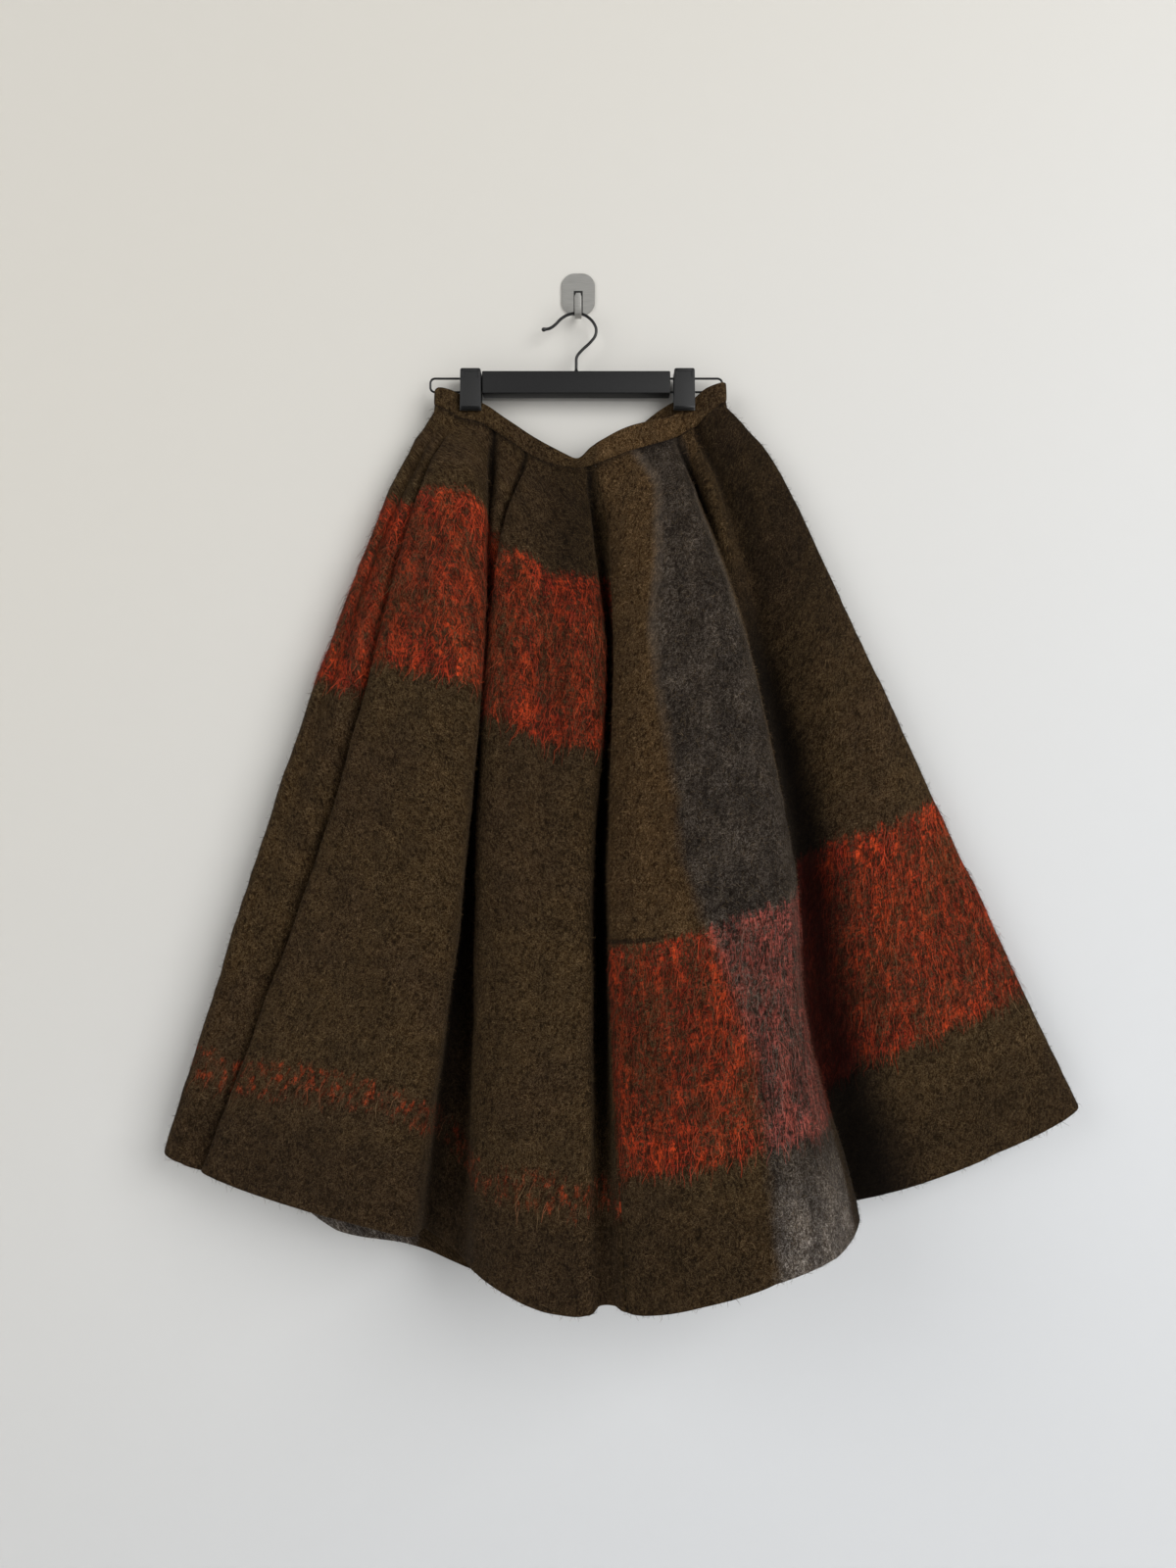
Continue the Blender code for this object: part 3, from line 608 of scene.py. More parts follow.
def pickRoots(face, count, weight, seed):
    # random places on a panel's skin, more of them where the weight is higher
    chance = np.random.default_rng(seed)
    skin = face["skin"]
    a = skin[:-1, :-1]
    right = skin[:-1, 1:] - a
    down = skin[1:, :-1] - a
    size = np.linalg.norm(np.cross(right, down), axis=2) * weight[:-1, :-1]
    cumulative = np.cumsum(size.ravel())
    cell = np.searchsorted(cumulative, chance.random(count) * cumulative[-1])
    i, j = np.unravel_index(np.minimum(cell, size.size - 1), size.shape)
    s = chance.random((count, 1))
    t = chance.random((count, 1))

    def mixed(values):
        if values.ndim == 2:
            values = values[:, :, None]
        top = values[i, j] * (1 - s) + values[i, j + 1] * s
        low = values[i + 1, j] * (1 - s) + values[i + 1, j + 1] * s
        return top * (1 - t) + low * t

    normal = mixed(face["normal"])
    downward = down[i, j]
    downward = downward / np.linalg.norm(downward, axis=1, keepdims=True)
    side = np.cross(downward, normal)
    side /= np.linalg.norm(side, axis=1, keepdims=True)
    return {
        "point": mixed(skin), "normal": normal, "down": downward, "side": side, "chance": chance,
        "flat": np.hstack((mixed(face["right"]), mixed(face["down"]))),
        "bands": np.hstack((mixed(face["orange"]), mixed(face["grey"]))),
        "shade": np.hstack((mixed(face["deep"]), mixed(face["deep"]))),
    }


def fibres(name, roots, values, material):
    # fine ribbons that start on the cloth, lean with the nap and curl
    chance = roots["chance"]
    count = len(roots["point"])
    steps = values["steps"]
    t = np.linspace(0, 1, steps + 1)[None, :, None]
    lean = np.radians(chance.normal(values["lean"], values["leanSpread"], (count, 1)))
    heading = np.cos(lean) * roots["down"] + np.sin(lean) * roots["side"]
    beside = np.cross(roots["normal"], heading)
    length = chance.uniform(values["shortest"], values["longest"], (count, 1))
    length *= chance.uniform(0.6, 1, (count, 1))
    lift = chance.uniform(values["leastLift"], values["mostLift"], (count, 1))
    wave = chance.uniform(0.3, 1.0, (count, 1)) * values["wave"]
    phase = chance.uniform(0, 2 * math.pi, (count, 1))
    turns = chance.uniform(values["fewestTurns"], values["mostTurns"], (count, 1))
    swing = np.sin(2 * math.pi * turns[:, None] * t + phase[:, None]) - np.sin(phase)[:, None]
    arch = np.sin(0.5 * math.pi * np.minimum(t * values["archFull"], 1))
    points = (
        roots["point"][:, None] + heading[:, None] * length[:, None] * t
        + roots["normal"][:, None] * (lift * length)[:, None] * arch
        + beside[:, None] * (wave * length)[:, None] * swing
    )
    points[:, :, 2] -= (values["sag"] * length) * t[:, :, 0] ** 2
    width = values["width"] * chance.uniform(0.7, 1.2, (count, 1))[:, None] * (1 - 0.65 * t)
    edges = np.stack((points - beside[:, None] * width / 2, points + beside[:, None] * width / 2), axis=2)
    base = (np.arange(count) * (steps + 1) * 2)[:, None]
    k = (np.arange(steps) * 2)[None, :]
    quads = np.stack((base + k, base + k + 1, base + k + 3, base + k + 2), axis=2).reshape(-1, 4)
    strand = np.empty((count, steps + 1, 2, 2))
    strand[..., 0] = chance.random((count, 1, 1))
    strand[..., 1] = t
    uvMaps = {key: np.repeat(roots[key], (steps + 1) * 2, axis=0) if key in roots else strand.reshape(-1, 2)
              for key in ("flat", "bands", "strand", "shade")}
    return meshPiece(name, edges.reshape(-1, 3), quads, uvMaps, material)


# shader helpers
def socketValue(tree, value, socket):
    if isinstance(value, bpy.types.NodeSocket):
        tree.links.new(value, socket)
    elif isinstance(value, (tuple, list)) and len(value) == 3 and socket.type == "RGBA":
        socket.default_value = (*value, 1.0)
    else:
        socket.default_value = value


def mathNode(tree, operation, a, b=0.0, c=0.0):
    node = tree.nodes.new("ShaderNodeMath")
    node.operation = operation
    for value, socket in zip((a, b, c), node.inputs):
        socketValue(tree, value, socket)
    return node.outputs[0]


def times(tree, value, *others):
    for other in others:
        value = mathNode(tree, "MULTIPLY", value, other)
    return value


def plus(tree, a, b):
    return mathNode(tree, "ADD", a, b)


def sloped(tree, value, slope, start):
    # start + slope * value
    return mathNode(tree, "MULTIPLY_ADD", value, slope, start)


def swung(tree, noise, amount):
    # noise to both sides of zero
    return sloped(tree, noise, amount, -0.5 * amount)


def hairLines(tree, noise, width):
    # thin winding lines where the noise passes its middle
    return stepNode(tree, mathNode(tree, "ABSOLUTE", swung(tree, noise, 1.0)), width, 0.0)


def stepNode(tree, value, low, high, toLow=0.0, toHigh=1.0):
    node = tree.nodes.new("ShaderNodeMapRange")
    node.interpolation_type = "SMOOTHSTEP"
    names = ("Value", "From Min", "From Max", "To Min", "To Max")
    for given, name in zip((value, low, high, toLow, toHigh), names):
        socketValue(tree, given, node.inputs[name])
    return node.outputs["Result"]


def mixNode(tree, factor, a, b, blendType="MIX"):
    node = tree.nodes.new("ShaderNodeMix")
    node.data_type = "RGBA"
    node.blend_type = blendType
    node.clamp_factor = True
    socketValue(tree, factor, node.inputs[0])
    socketValue(tree, a, node.inputs[6])
    socketValue(tree, b, node.inputs[7])
    return node.outputs[2]


def stretched(tree, vector, stretch):
    mapping = tree.nodes.new("ShaderNodeMapping")
    mapping.inputs["Scale"].default_value = stretch
    tree.links.new(vector, mapping.inputs["Vector"])
    return mapping.outputs["Vector"]


def noiseNode(tree, vector, scale, detail=2.0, roughness=0.5, distortion=0.0, stretch=None):
    node = tree.nodes.new("ShaderNodeTexNoise")
    names = ("Vector", "Scale", "Detail", "Roughness", "Distortion")
    vector = stretched(tree, vector, stretch) if stretch else vector
    for given, name in zip((vector, scale, detail, roughness, distortion), names):
        socketValue(tree, given, node.inputs[name])
    return node.outputs["Fac"]


def uvNode(tree, name):
    node = tree.nodes.new("ShaderNodeUVMap")
    node.uv_map = name
    return node.outputs[0]


def partsOf(tree, vector):
    node = tree.nodes.new("ShaderNodeSeparateXYZ")
    tree.links.new(vector, node.inputs[0])
    return node.outputs[:]


def newGroup(name, inputs, outputs):
    tree = bpy.data.node_groups.new(name, "ShaderNodeTree")
    for label, kind in inputs:
        tree.interface.new_socket(name=label, in_out="INPUT", socket_type=kind)
    for label, kind in outputs:
        tree.interface.new_socket(name=label, in_out="OUTPUT", socket_type=kind)
    return tree, tree.nodes.new("NodeGroupInput").outputs, tree.nodes.new("NodeGroupOutput").inputs


def useGroup(tree, group, inputs):
    node = tree.nodes.new("ShaderNodeGroup")
    node.node_tree = group
    for label, value in inputs.items():
        socketValue(tree, value, node.inputs[label])
    return node.outputs


def newMaterial(name):
    material = bpy.data.materials.new(name)
    material.use_nodes = True
    tree = material.node_tree
    return material, tree, tree.nodes["Principled BSDF"]


woolValues = {
    "dark": (0.0080, 0.0042, 0.0012),
    "middle": (0.0250, 0.0132, 0.0040),
    "light": (0.230, 0.155, 0.078),
    "tanTint": (1.42, 1.36, 1.36),      # beside the grey stripe
    "violetTint": (0.82, 0.80, 0.96),
    "hemTint": (0.62, 0.62, 0.66),
    "hemGreyTint": (3.1, 3.3, 3.55),
    "redBrown": (0.085, 0.014, 0.006),
    "brownRed": (0.040, 0.0085, 0.004),
    "orange": (0.58, 0.058, 0.014),
    "crimson": (0.29, 0.019, 0.010),
    "greyDark": (0.0070, 0.0052, 0.0038),
    "charcoal": (0.0150, 0.0112, 0.0082),
    "greyLight": (0.200, 0.172, 0.145),
    "pinkGrey": (0.46, 0.125, 0.110),
    # painted shade: the colours that the cloth and its bands turn to deep in folds; foldShade is how strongly
    "inShade": (0.0012, 0.0008, 0.0006),
    "bandInShade": (0.0130, 0.0012, 0.0009),
    "groove": (0.004, 0.003, 0.002),
    "bandHairs": 0.034,         # how far single hairs carry the colour past a band's edge
    "bandTufts": 0.010,
    "greyTufts": 0.014,
    "mainBand": 0.97,           # how strongly the orange bands cover the cloth
    "thinBand": (0.03, 0.36),   # the faint one, between its tufts and in them
    "thinBandTop": 0.60,
    "roughness": 0.95,
    "sheen": 0.04,
    "bump": 0.0016,
    "foldShade": 0.93,
}


# scale, detail, roughness, distortion and stretch of each noise over the flat cloth
clothNoises = {
    "fine": (400.0, 3.0, 0.62, 0.6, (1.0, 0.62, 1.0)),
    "curls": (170.0, 2.0, 0.55, 1.2, (1.0, 0.75, 1.0)),
    "patches": (34.0, 2.0, 0.5),
    "fineHairs": (430.0, 1.0, 0.5, 1.6, (1.0, 0.6, 1.0)),
    "hairs": (300.0, 1.0, 0.5, 1.6, (0.8, 1.0, 1.0)),
    "tufts": (95.0, 3.0, 0.6, 0.4, (1.0, 0.5, 1.0)),
    "edgeHairs": (420.0, 2.0, 0.6, 0.8, (1.0, 0.16, 1.0)),
    "blocks": (8.5, 1.5, 0.5),
    "uneven": (42.0, 2.0, 0.5, 0.0, (1.0, 0.5, 1.0)),
    "streaks": (600.0, 2.0, 0.6, 0.7, (1.0, 0.24, 1.0)),
    "wisps": (340.0, 1.0, 0.5, 1.3, (1.0, 0.30, 1.0)),
    "clusters": (130.0, 3.0, 0.6, 0.3, (1.0, 0.50, 1.0)),
    "columns": (62.0, 1.0, 0.5, 0.2, (1.0, 0.10, 1.0)),
    "weave": (330.0, 1.0, 0.5, 0.0, (0.35, 1.0, 1.0)),
    "bandPatches": (27.0, 2.0, 0.55, 0.2, (1.0, 0.45, 1.0)),
}
white = (1.0, 1.0, 1.0)


def clothNoise(tree, flat, *names):
    made = [noiseNode(tree, flat, *clothNoises[name]) for name in names]
    return made if len(made) > 1 else made[0]


def heatherGroup():
    # brushed wool: mottled fibres in three tones, pale hair lines that are lighter fibres with a painted
    # highlight, and the height of its nap
    tree, given, made = newGroup(
        "Brushed wool heather",
        [("Flat", "NodeSocketVector"), ("Dark", "NodeSocketColor"), ("Middle", "NodeSocketColor"),
         ("Light", "NodeSocketColor")],
        [("Color", "NodeSocketColor"), ("Height", "NodeSocketFloat")],
    )
    fine, curls, patches, *hairNoises = clothNoise(
        tree, given["Flat"], "fine", "curls", "patches", "fineHairs", "hairs")
    mottle = plus(tree, times(tree, fine, 0.6), times(tree, curls, 0.4))
    hairs = mathNode(tree, "MAXIMUM", *(hairLines(tree, noise, 0.035) for noise in hairNoises))
    # the pale hair lines: lighter fibres, with a painted highlight on them
    glint = times(tree, hairs, stepNode(tree, mottle, 0.36, 0.58), 0.50)
    base = mixNode(tree, stepNode(tree, mottle, 0.32, 0.58), given["Dark"], given["Middle"])
    base = mixNode(tree, glint, base, given["Light"])
    tones = mixNode(tree, stepNode(tree, patches, 0.35, 0.65), (0.72, 0.72, 0.74), (1.22, 1.2, 1.16))
    tree.links.new(mixNode(tree, 0.5, base, tones, "MULTIPLY"), made["Color"])
    tree.links.new(plus(tree, mottle, times(tree, hairs, 0.08)), made["Height"])
    return tree


def bandGroup():
    # masks of the woven bands, with edges broken by the nap
    v = woolValues
    tree, given, made = newGroup(
        "Blanket bands",
        [("Flat", "NodeSocketVector"), ("Orange distance", "NodeSocketFloat"),
         ("Grey distance", "NodeSocketFloat")],
        [("Orange", "NodeSocketFloat"), ("Grey", "NodeSocketFloat")],
    )
    tufts, hairs = clothNoise(tree, given["Flat"], "tufts", "edgeHairs")
    orange = plus(tree, given["Orange distance"], swung(tree, hairs, v["bandHairs"]))
    orange = plus(tree, orange, swung(tree, tufts, v["bandTufts"]))
    grey = plus(tree, given["Grey distance"], swung(tree, tufts, v["greyTufts"]))
    tree.links.new(stepNode(tree, orange, -0.004, 0.005), made["Orange"])
    tree.links.new(stepNode(tree, grey, -0.008, 0.010), made["Grey"])
    return tree


def brownWool(tree, ground, flat, right, down):
    # a violet cast in places, greyer at the hem, and tan beside the grey stripe
    v = woolValues
    nearHem = stepNode(tree, down, 0.755, 0.80)
    violet = mathNode(
        tree, "MAXIMUM",
        times(tree, stepNode(tree, clothNoise(tree, flat, "blocks"), 0.46, 0.6), 0.5),
        times(tree, nearHem, stepNode(tree, right, 0.0, -0.01), 0.8),
    )
    tint = mixNode(tree, violet, white, v["violetTint"])
    tint = mixNode(tree, times(tree, nearHem, 0.6), tint, v["hemTint"])
    brown = mixNode(tree, 1.0, ground, tint, "MULTIPLY")
    tan = times(tree, stepNode(tree, right, -0.004, 0.010), stepNode(tree, right, 0.150, 0.105),
                stepNode(tree, down, 0.62, 0.50))
    return mixNode(tree, tan, brown, mixNode(tree, 1.0, ground, v["tanTint"], "MULTIPLY"))


def greyWool(tree, ground, flat, down):
    # uneven charcoal, paler near the hem
    tint = mixNode(tree, stepNode(tree, down, 0.74, 0.84), white, woolValues["hemGreyTint"])
    uneven = stepNode(tree, clothNoise(tree, flat, "uneven"), 0.36, 0.66)
    uneven = mixNode(tree, uneven, (0.72, 0.72, 0.73), (1.38, 1.36, 1.34))
    return mixNode(tree, 1.0, ground, mixNode(tree, 1.0, tint, uneven, "MULTIPLY"), "MULTIPLY")


def bandWool(tree, flat, cloth, height, grey, toOrange, chance, along):
    # long bright hairs over a red ground, in columns and patches, dimmer towards the middle of the band, with
    # painted light and shade on the nap's relief
    v = woolValues
    streaks, wisps, clusters, columns, weave, patches = clothNoise(
        tree, flat, "streaks", "wisps", "clusters", "columns", "weave", "bandPatches")
    lively = streaks
    for part, share in ((clusters, 0.50), (columns, 0.20), (weave, 0.50)):
        lively = plus(tree, lively, swung(tree, part, share))
    woven = mathNode(
        tree, "MAXIMUM", stepNode(tree, lively, 0.48, 0.70),
        times(tree, hairLines(tree, wisps, 0.045), stepNode(tree, lively, 0.36, 0.52)),
    )
    inColumn = plus(tree, times(tree, columns, 0.35), times(tree, clusters, 0.65))
    inColumn = stepNode(tree, inColumn, 0.40, 0.62)
    strong = stepNode(tree, patches, 0.34, 0.60)
    veil = stepNode(tree, toOrange, 0.016, 0.050)
    isStrand = stepNode(tree, along, 0.005, 0.01)
    bright = times(
        tree, mixNode(tree, isStrand, woven, stepNode(tree, chance, 0.40, 0.75)), 0.86,
        sloped(tree, grey, -0.30, 1.0), sloped(tree, strong, 0.58, 0.52), sloped(tree, veil, -0.36, 1.10),
    )
    red = mixNode(tree, inColumn, v["brownRed"], v["redBrown"])
    under = mixNode(tree, sloped(tree, grey, -0.372, 0.62), cloth, red)
    under = mixNode(tree, sloped(tree, strong, -0.6, 0.6), under, cloth)
    under = mixNode(tree, times(tree, veil, 0.22), under, cloth)
    hairs = mixNode(tree, inColumn, v["crimson"], v["orange"])
    hairs = mixNode(tree, times(tree, grey, 0.62), hairs, v["pinkGrey"])
    # painted light and shade on the nap: its high parts lighter, its low parts darker
    paintedReliefShading = mixNode(tree, stepNode(tree, height, 0.38, 0.62), (0.60, 0.60, 0.60), (1.38, 1.38, 1.38))
    return mixNode(tree, 0.6, mixNode(tree, bright, under, hairs), paintedReliefShading, "MULTIPLY"), clusters


def woolMaterial():
    v = woolValues
    material, tree, shader = newMaterial("brushed wool")
    flat = uvNode(tree, "flat")
    right, down, _ = partsOf(tree, flat)
    toOrange, toGrey, _ = partsOf(tree, uvNode(tree, "bands"))
    chance, along, _ = partsOf(tree, uvNode(tree, "strand"))
    # the painted shade of folds and of the line under the waistband, from the shade map
    depth = partsOf(tree, uvNode(tree, "shade"))[0]
    heather = heatherGroup()
    brownGround, greyGround = (
        useGroup(tree, heather, {"Flat": flat, "Dark": v[dark], "Middle": v[middle], "Light": v[light]})
        for dark, middle, light in (("dark", "middle", "light"), ("greyDark", "charcoal", "greyLight"))
    )
    height = brownGround["Height"]
    masks = useGroup(tree, bandGroup(), {"Flat": flat, "Orange distance": toOrange, "Grey distance": toGrey})

    brown = brownWool(tree, brownGround["Color"], flat, right, down)
    grey = greyWool(tree, greyGround["Color"], flat, down)
    cloth = mixNode(tree, times(tree, masks["Grey"], 0.92), brown, grey)
    paleEdge = stepNode(tree, mathNode(tree, "ABSOLUTE", toGrey), 0.010, 0.0)
    paleEdge = times(tree, paleEdge, stepNode(tree, down, 0.40, 0.15), height, 0.28)
    cloth = mixNode(tree, paleEdge, cloth, v["greyLight"])

    band, clusters = bandWool(tree, flat, cloth, height, masks["Grey"], toOrange, chance, along)
    top = v["thinBandTop"]
    isThin = times(tree, stepNode(tree, right, 0.0, -0.002), stepNode(tree, down, top, top + 0.01))
    faint = stepNode(tree, clusters, 0.47, 0.62, *v["thinBand"])
    cover = times(tree, masks["Orange"], mixNode(tree, isThin, (v["mainBand"],) * 3, faint))
    cloth = mixNode(tree, cover, cloth, band)
    # a dark line where the weave changes above the band at the centre front
    above = mathNode(tree, "ABSOLUTE", plus(tree, toOrange, 0.0045))
    groove = times(tree, stepNode(tree, above, 0.0032, 0.0012), stepNode(tree, right, 0.085, 0.075),
                   stepNode(tree, right, 0.0, 0.002), stepNode(tree, down, 0.60, 0.55), 0.65)
    cloth = mixNode(tree, groove, cloth, v["groove"])

    # painted highlight: some fibres turn lighter towards their tips
    paler = times(tree, stepNode(tree, chance, 0.60, 1.0), stepNode(tree, along, 0.0, 0.4),
                  sloped(tree, cover, -0.48, 0.66))
    cloth = mixNode(tree, paler, cloth, mixNode(tree, 0.6, cloth, v["light"], "ADD"))
    # painted shade: deep in folds and under the waistband the cloth is painted dark
    inShade = mixNode(tree, cover, v["inShade"], v["bandInShade"])
    cloth = mixNode(tree, times(tree, depth, v["foldShade"]), cloth, inShade)
    tree.links.new(cloth, shader.inputs["Base Color"])
    bump = tree.nodes.new("ShaderNodeBump")
    bump.inputs["Strength"].default_value = 0.8
    bump.inputs["Distance"].default_value = v["bump"]
    tree.links.new(height, bump.inputs["Height"])
    tree.links.new(bump.outputs[0], shader.inputs["Normal"])
    for name, value in (
        ("Roughness", v["roughness"]), ("Sheen Weight", v["sheen"]), ("Sheen Roughness", 0.6),
        ("Sheen Tint", (0.6, 0.45, 0.3, 1.0)), ("Specular IOR Level", 0.07),
    ):
        shader.inputs[name].default_value = value
    return material


wool = woolMaterial()
print("wool material made")

heights, surface, starts, bandTop = skirtRings()
rounding = np.array(clothValues["roundRows"])
lengthDown = clothValues["length"]
regular = np.linspace(rounding[-1], lengthDown - rounding[-1], round(lengthDown / clothValues["rowHeight"]))
clothRows = np.concatenate((rounding[:-1], regular, lengthDown - rounding[:-1][::-1]))
middle = rowsAt(heights, surface, clothRows)
around, wholeWay = alongRing(middle, starts)
greyLeft, greyRight = (
    np.interp(clothRows, [e.down for e in greyStripe], [e[k] for e in greyStripe])[:, None] for k in (1, 2)
)
backLeft = around[:, [starts["back_crest_5"]]]
backRight = around[:, [starts["left_back"]]]
pinch, pinchShade = pinchedFolds(around, starts, clothRows)
# deep is the painted shade of the folds and of the line under the waistband
ring = {
    "middle": middle, "normal": facingOut(middle), "down": clothRows, "around": around, "starts": starts,
    "pinch": pinch, "deep": np.maximum(paintedShadeInFolds(middle, facingOut(middle), clothRows), pinchShade),
    "grey": np.maximum(np.minimum(around - greyLeft, greyRight - around),
                       np.minimum(around - backLeft, backRight - around)),
}

Panel = namedtuple("Panel", "node firstFold lastFold bands bandsFrom fuzz")
panels = (
    Panel("front_left_panel", "back_crest_6", "centre_front", leftBands, "centre_back", 38000),
    Panel("front_right_panel", "centre_front", "back_crest_1", rightBands, "centre_front", 38000),
    Panel("back_right_panel", "back_crest_1", "centre_back", rightBands, "centre_front", 14000),
    Panel("back_left_panel", "centre_back", "back_crest_6", leftBands, "centre_back", 14000),
)
fuzzValues = {
    "steps": 2, "lean": 0.0, "leanSpread": 75.0, "shortest": 0.004, "longest": 0.009, "width": 0.00036,
    "leastLift": 0.05, "mostLift": 0.55, "wave": 0.16, "fewestTurns": 0.3, "mostTurns": 0.9, "archFull": 1.6,
    "sag": 0.0, "seed": 21,
}
mohairValues = {
    "steps": 4, "lean": 8.0, "leanSpread": 16.0, "shortest": 0.010, "longest": 0.026, "width": 0.00058,
    "leastLift": 0.04, "mostLift": 0.16, "wave": 0.08, "fewestTurns": 0.5, "mostTurns": 1.4, "archFull": 2.5,
    "sag": 0.03, "seed": 22,
    "share": 0.17,              # how many there are for each fibre of the fuzz
    "thinBandShare": 0.3,       # how much of that on the faint band
}
faces = {}
for panel in panels:
    piece, face = clothPanel(panel, wool, ring)
    faces[panel.node] = face
    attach(piece, "root")
    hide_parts(panel.node)
    print(panel.node, "shell made,", round(face["area"], 3), "square metres")


def napOf(panel, face):
    # the short fuzz of a panel, and the long mohair of its orange bands
    m = mohairValues
    top = woolValues["thinBandTop"]
    onThinBand = smoothStep(top, top + 0.01, face["down"]) * (face["right"] < 0)
    bandWeight = smoothStep(-0.001, 0.003, face["orange"]) * (1 - (1 - m["thinBandShare"]) * onThinBand)
    made = []
    for ending, count, weight, values in (
        ("_fuzz", panel.fuzz, np.ones_like(bandWeight), fuzzValues),
        ("_mohair", round(panel.fuzz * m["share"]), bandWeight, m),
    ):
        made.append(fibres(panel.node + ending, pickRoots(face, count, weight, values["seed"]), values, wool))
    return made


naps = {}
for panel in panels:
    naps[panel.node] = napOf(panel, faces[panel.node])
    for piece in naps[panel.node]:
        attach(piece, "root")
print("nap made")

waistbandValues = {
    "thickness": 0.004,
    "steps": 14,                # points round its section
    "roundTop": 0.6,
    "roundSide": 0.45,
    "lump": 0.0006,
    "lumpSize": 0.013,
    "edgeWave": 0.00035,
    "waveSize": 0.017,
    "stripeDistance": -0.1,     # no stripe crosses the band
}


def waistbandPiece(material):
    # the narrow band, a closed strip with soft rounded edges
    v = waistbandValues
    lower = ring["middle"][0] + np.array((0.0, 0.0, clothValues["seamGap"]))
    upper = bandTop
    normal = facingOut(np.array([upper, lower]))[0]
    aroundTop = ring["around"][0]
    angle = np.linspace(0, 2 * math.pi, v["steps"], endpoint=False)
    heightPart = 0.5 + 0.5 * np.sign(np.cos(angle)) * np.abs(np.cos(angle)) ** v["roundTop"]
    outPart = np.sign(np.sin(angle)) * np.abs(np.sin(angle)) ** v["roundSide"]
    wave = v["edgeWave"] * softNoise(aroundTop, np.full_like(aroundTop, 0.3), v["waveSize"], 10)
    rows = []
    for part, out in zip(heightPart, outPart):
        lump = softNoise(aroundTop, np.full_like(aroundTop, 0.05 + part * 0.02), v["lumpSize"], 9)
        proud = v["thickness"] / 2 * out + v["lump"] * lump
        point = lower + (upper - lower) * part + normal * proud[:, None]
        if part > 0.5:
            point[:, 2] += wave * (2 * part - 1)
        rows.append(point)
    grid = np.array(rows)
    count, columns = grid.shape[:2]
    corner = np.arange(count * columns).reshape(count, columns)
    beside = np.roll(corner, -1, axis=1)
    quads = np.stack((corner, beside, np.roll(beside, -1, axis=0), np.roll(corner, -1, axis=0)), axis=-1)
    uvMaps = {
        "flat": pairs(aroundTop, -0.03 * heightPart[:, None]),
        "bands": np.full((count * columns, 2), v["stripeDistance"]),
        "strand": np.tile((0.5, 0.0), (count * columns, 1)),
        "shade": np.zeros((count * columns, 2)),
    }
    return meshPiece("waistband_cloth", grid.reshape(-1, 3), quads.reshape(-1, 4), uvMaps, material)


waistband = waistbandPiece(wool)
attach(waistband, "root")
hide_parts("waistband")
for panel in panels:
    face = faces[panel.node]
print("waistband made")


# the hanger and its wall hook
hangerValues = {
    "across": -0.002, "out": 0.018,
    "barLength": 0.204, "barDepth": 0.018, "barTop": -0.0936, "barHeight": 0.0244, "barRound": 0.0012,
    "wire": 0.0032, "tip": 0.0046, "tipLength": 0.0022, "ferrule": 0.0058, "ferruleHeight": 0.0035,
    "loopWire": 0.0024, "loopTop": -0.0992, "loopBottom": -0.1139, "loopReach": 0.159, "loopRound": 0.005,
    "socket": 0.0024, "socketOut": 0.003, "socketRound": 0.0008,    # where the loops' wire enters the bar
}
clipValues = {
    "width": 0.0232, "top": -0.0912, "bottom": -0.1358, "jaw": 0.0045, "inner": 0.0134, "outer": 0.0246,
    "corner": 0.0022, "taper": 0.05, "bridgeWidth": 0.93, "bridgeIn": 0.001, "bridgeRound": 0.0012,
    "rim": 0.0022, "rimDeep": 0.0007, "rimWidth": 0.80, "rimBelowTop": 0.0016, "rimLength": 0.0080,
    "lip": 0.0038, "lipDrop": 0.0009, "lipIn": 0.0012, "lipRound": 0.0006,
}
clipCentres = {"clip_left": -0.1164, "clip_right": 0.1152}
wallHookValues = {
    "width": 0.0368, "height": 0.046, "thickness": 0.0012, "corner": 0.0145, "edge": 0.0003,
    "stripWidth": 0.0075, "stripThickness": 0.0015, "stripRound": 0.00055,
    "slotHalf": 0.0047, "slotTop": 0.0034, "slotBlur": 0.0006,
}
# mm to the right of the hook, mm above it
crookRoute = (
    (-2.0, -93.3), (-2.0, -84.0), (-1.4, -75.5), (4.4, -68.0), (13.0, -60.0), (18.6, -52.5), (19.6, -44.6),
    (15.4, -36.4), (7.4, -30.0), (-2.0, -27.9), (-11.2, -29.6), (-18.6, -34.0), (-25.0, -40.4),
    (-31.0, -44.4), (-37.6, -45.6),
)
# mm from the wall, mm above the hook's middle
stripRoute = (
    (1.7, 1.0), (1.7, -10.0), (2.2, -18.0), (4.2, -24.2), (8.4, -29.2), (13.4, -31.1), (18.2, -31.2),
    (22.6, -29.6), (25.6, -25.6), (26.8, -20.6), (27.4, -15.4), (27.8, -10.4),
)


def finishShape(name, shape, material, node):
    bmesh.ops.recalc_face_normals(shape, faces=shape.faces)
    mesh = bpy.data.meshes.new(name)
    shape.to_mesh(mesh)
    shape.free()
    mesh.shade_smooth()
    mesh.set_sharp_from_angle(angle=math.radians(38))
    mesh.materials.append(material)
    made = placed(name, mesh)
    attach(made, "root")
    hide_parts(node)
    return made


def addSoftBox(shape, low, high, rounding, segments=3):
    made = bmesh.ops.create_cube(shape, size=1.0)["verts"]
    for vert in made:
        vert.co = [a + (b - a) * (c + 0.5) for a, b, c in zip(low, high, vert.co)]
    edges = list({edge for vert in made for edge in vert.link_edges})
    bmesh.ops.bevel(shape, geom=edges, offset=rounding, segments=segments, profile=0.5, affect="EDGES")


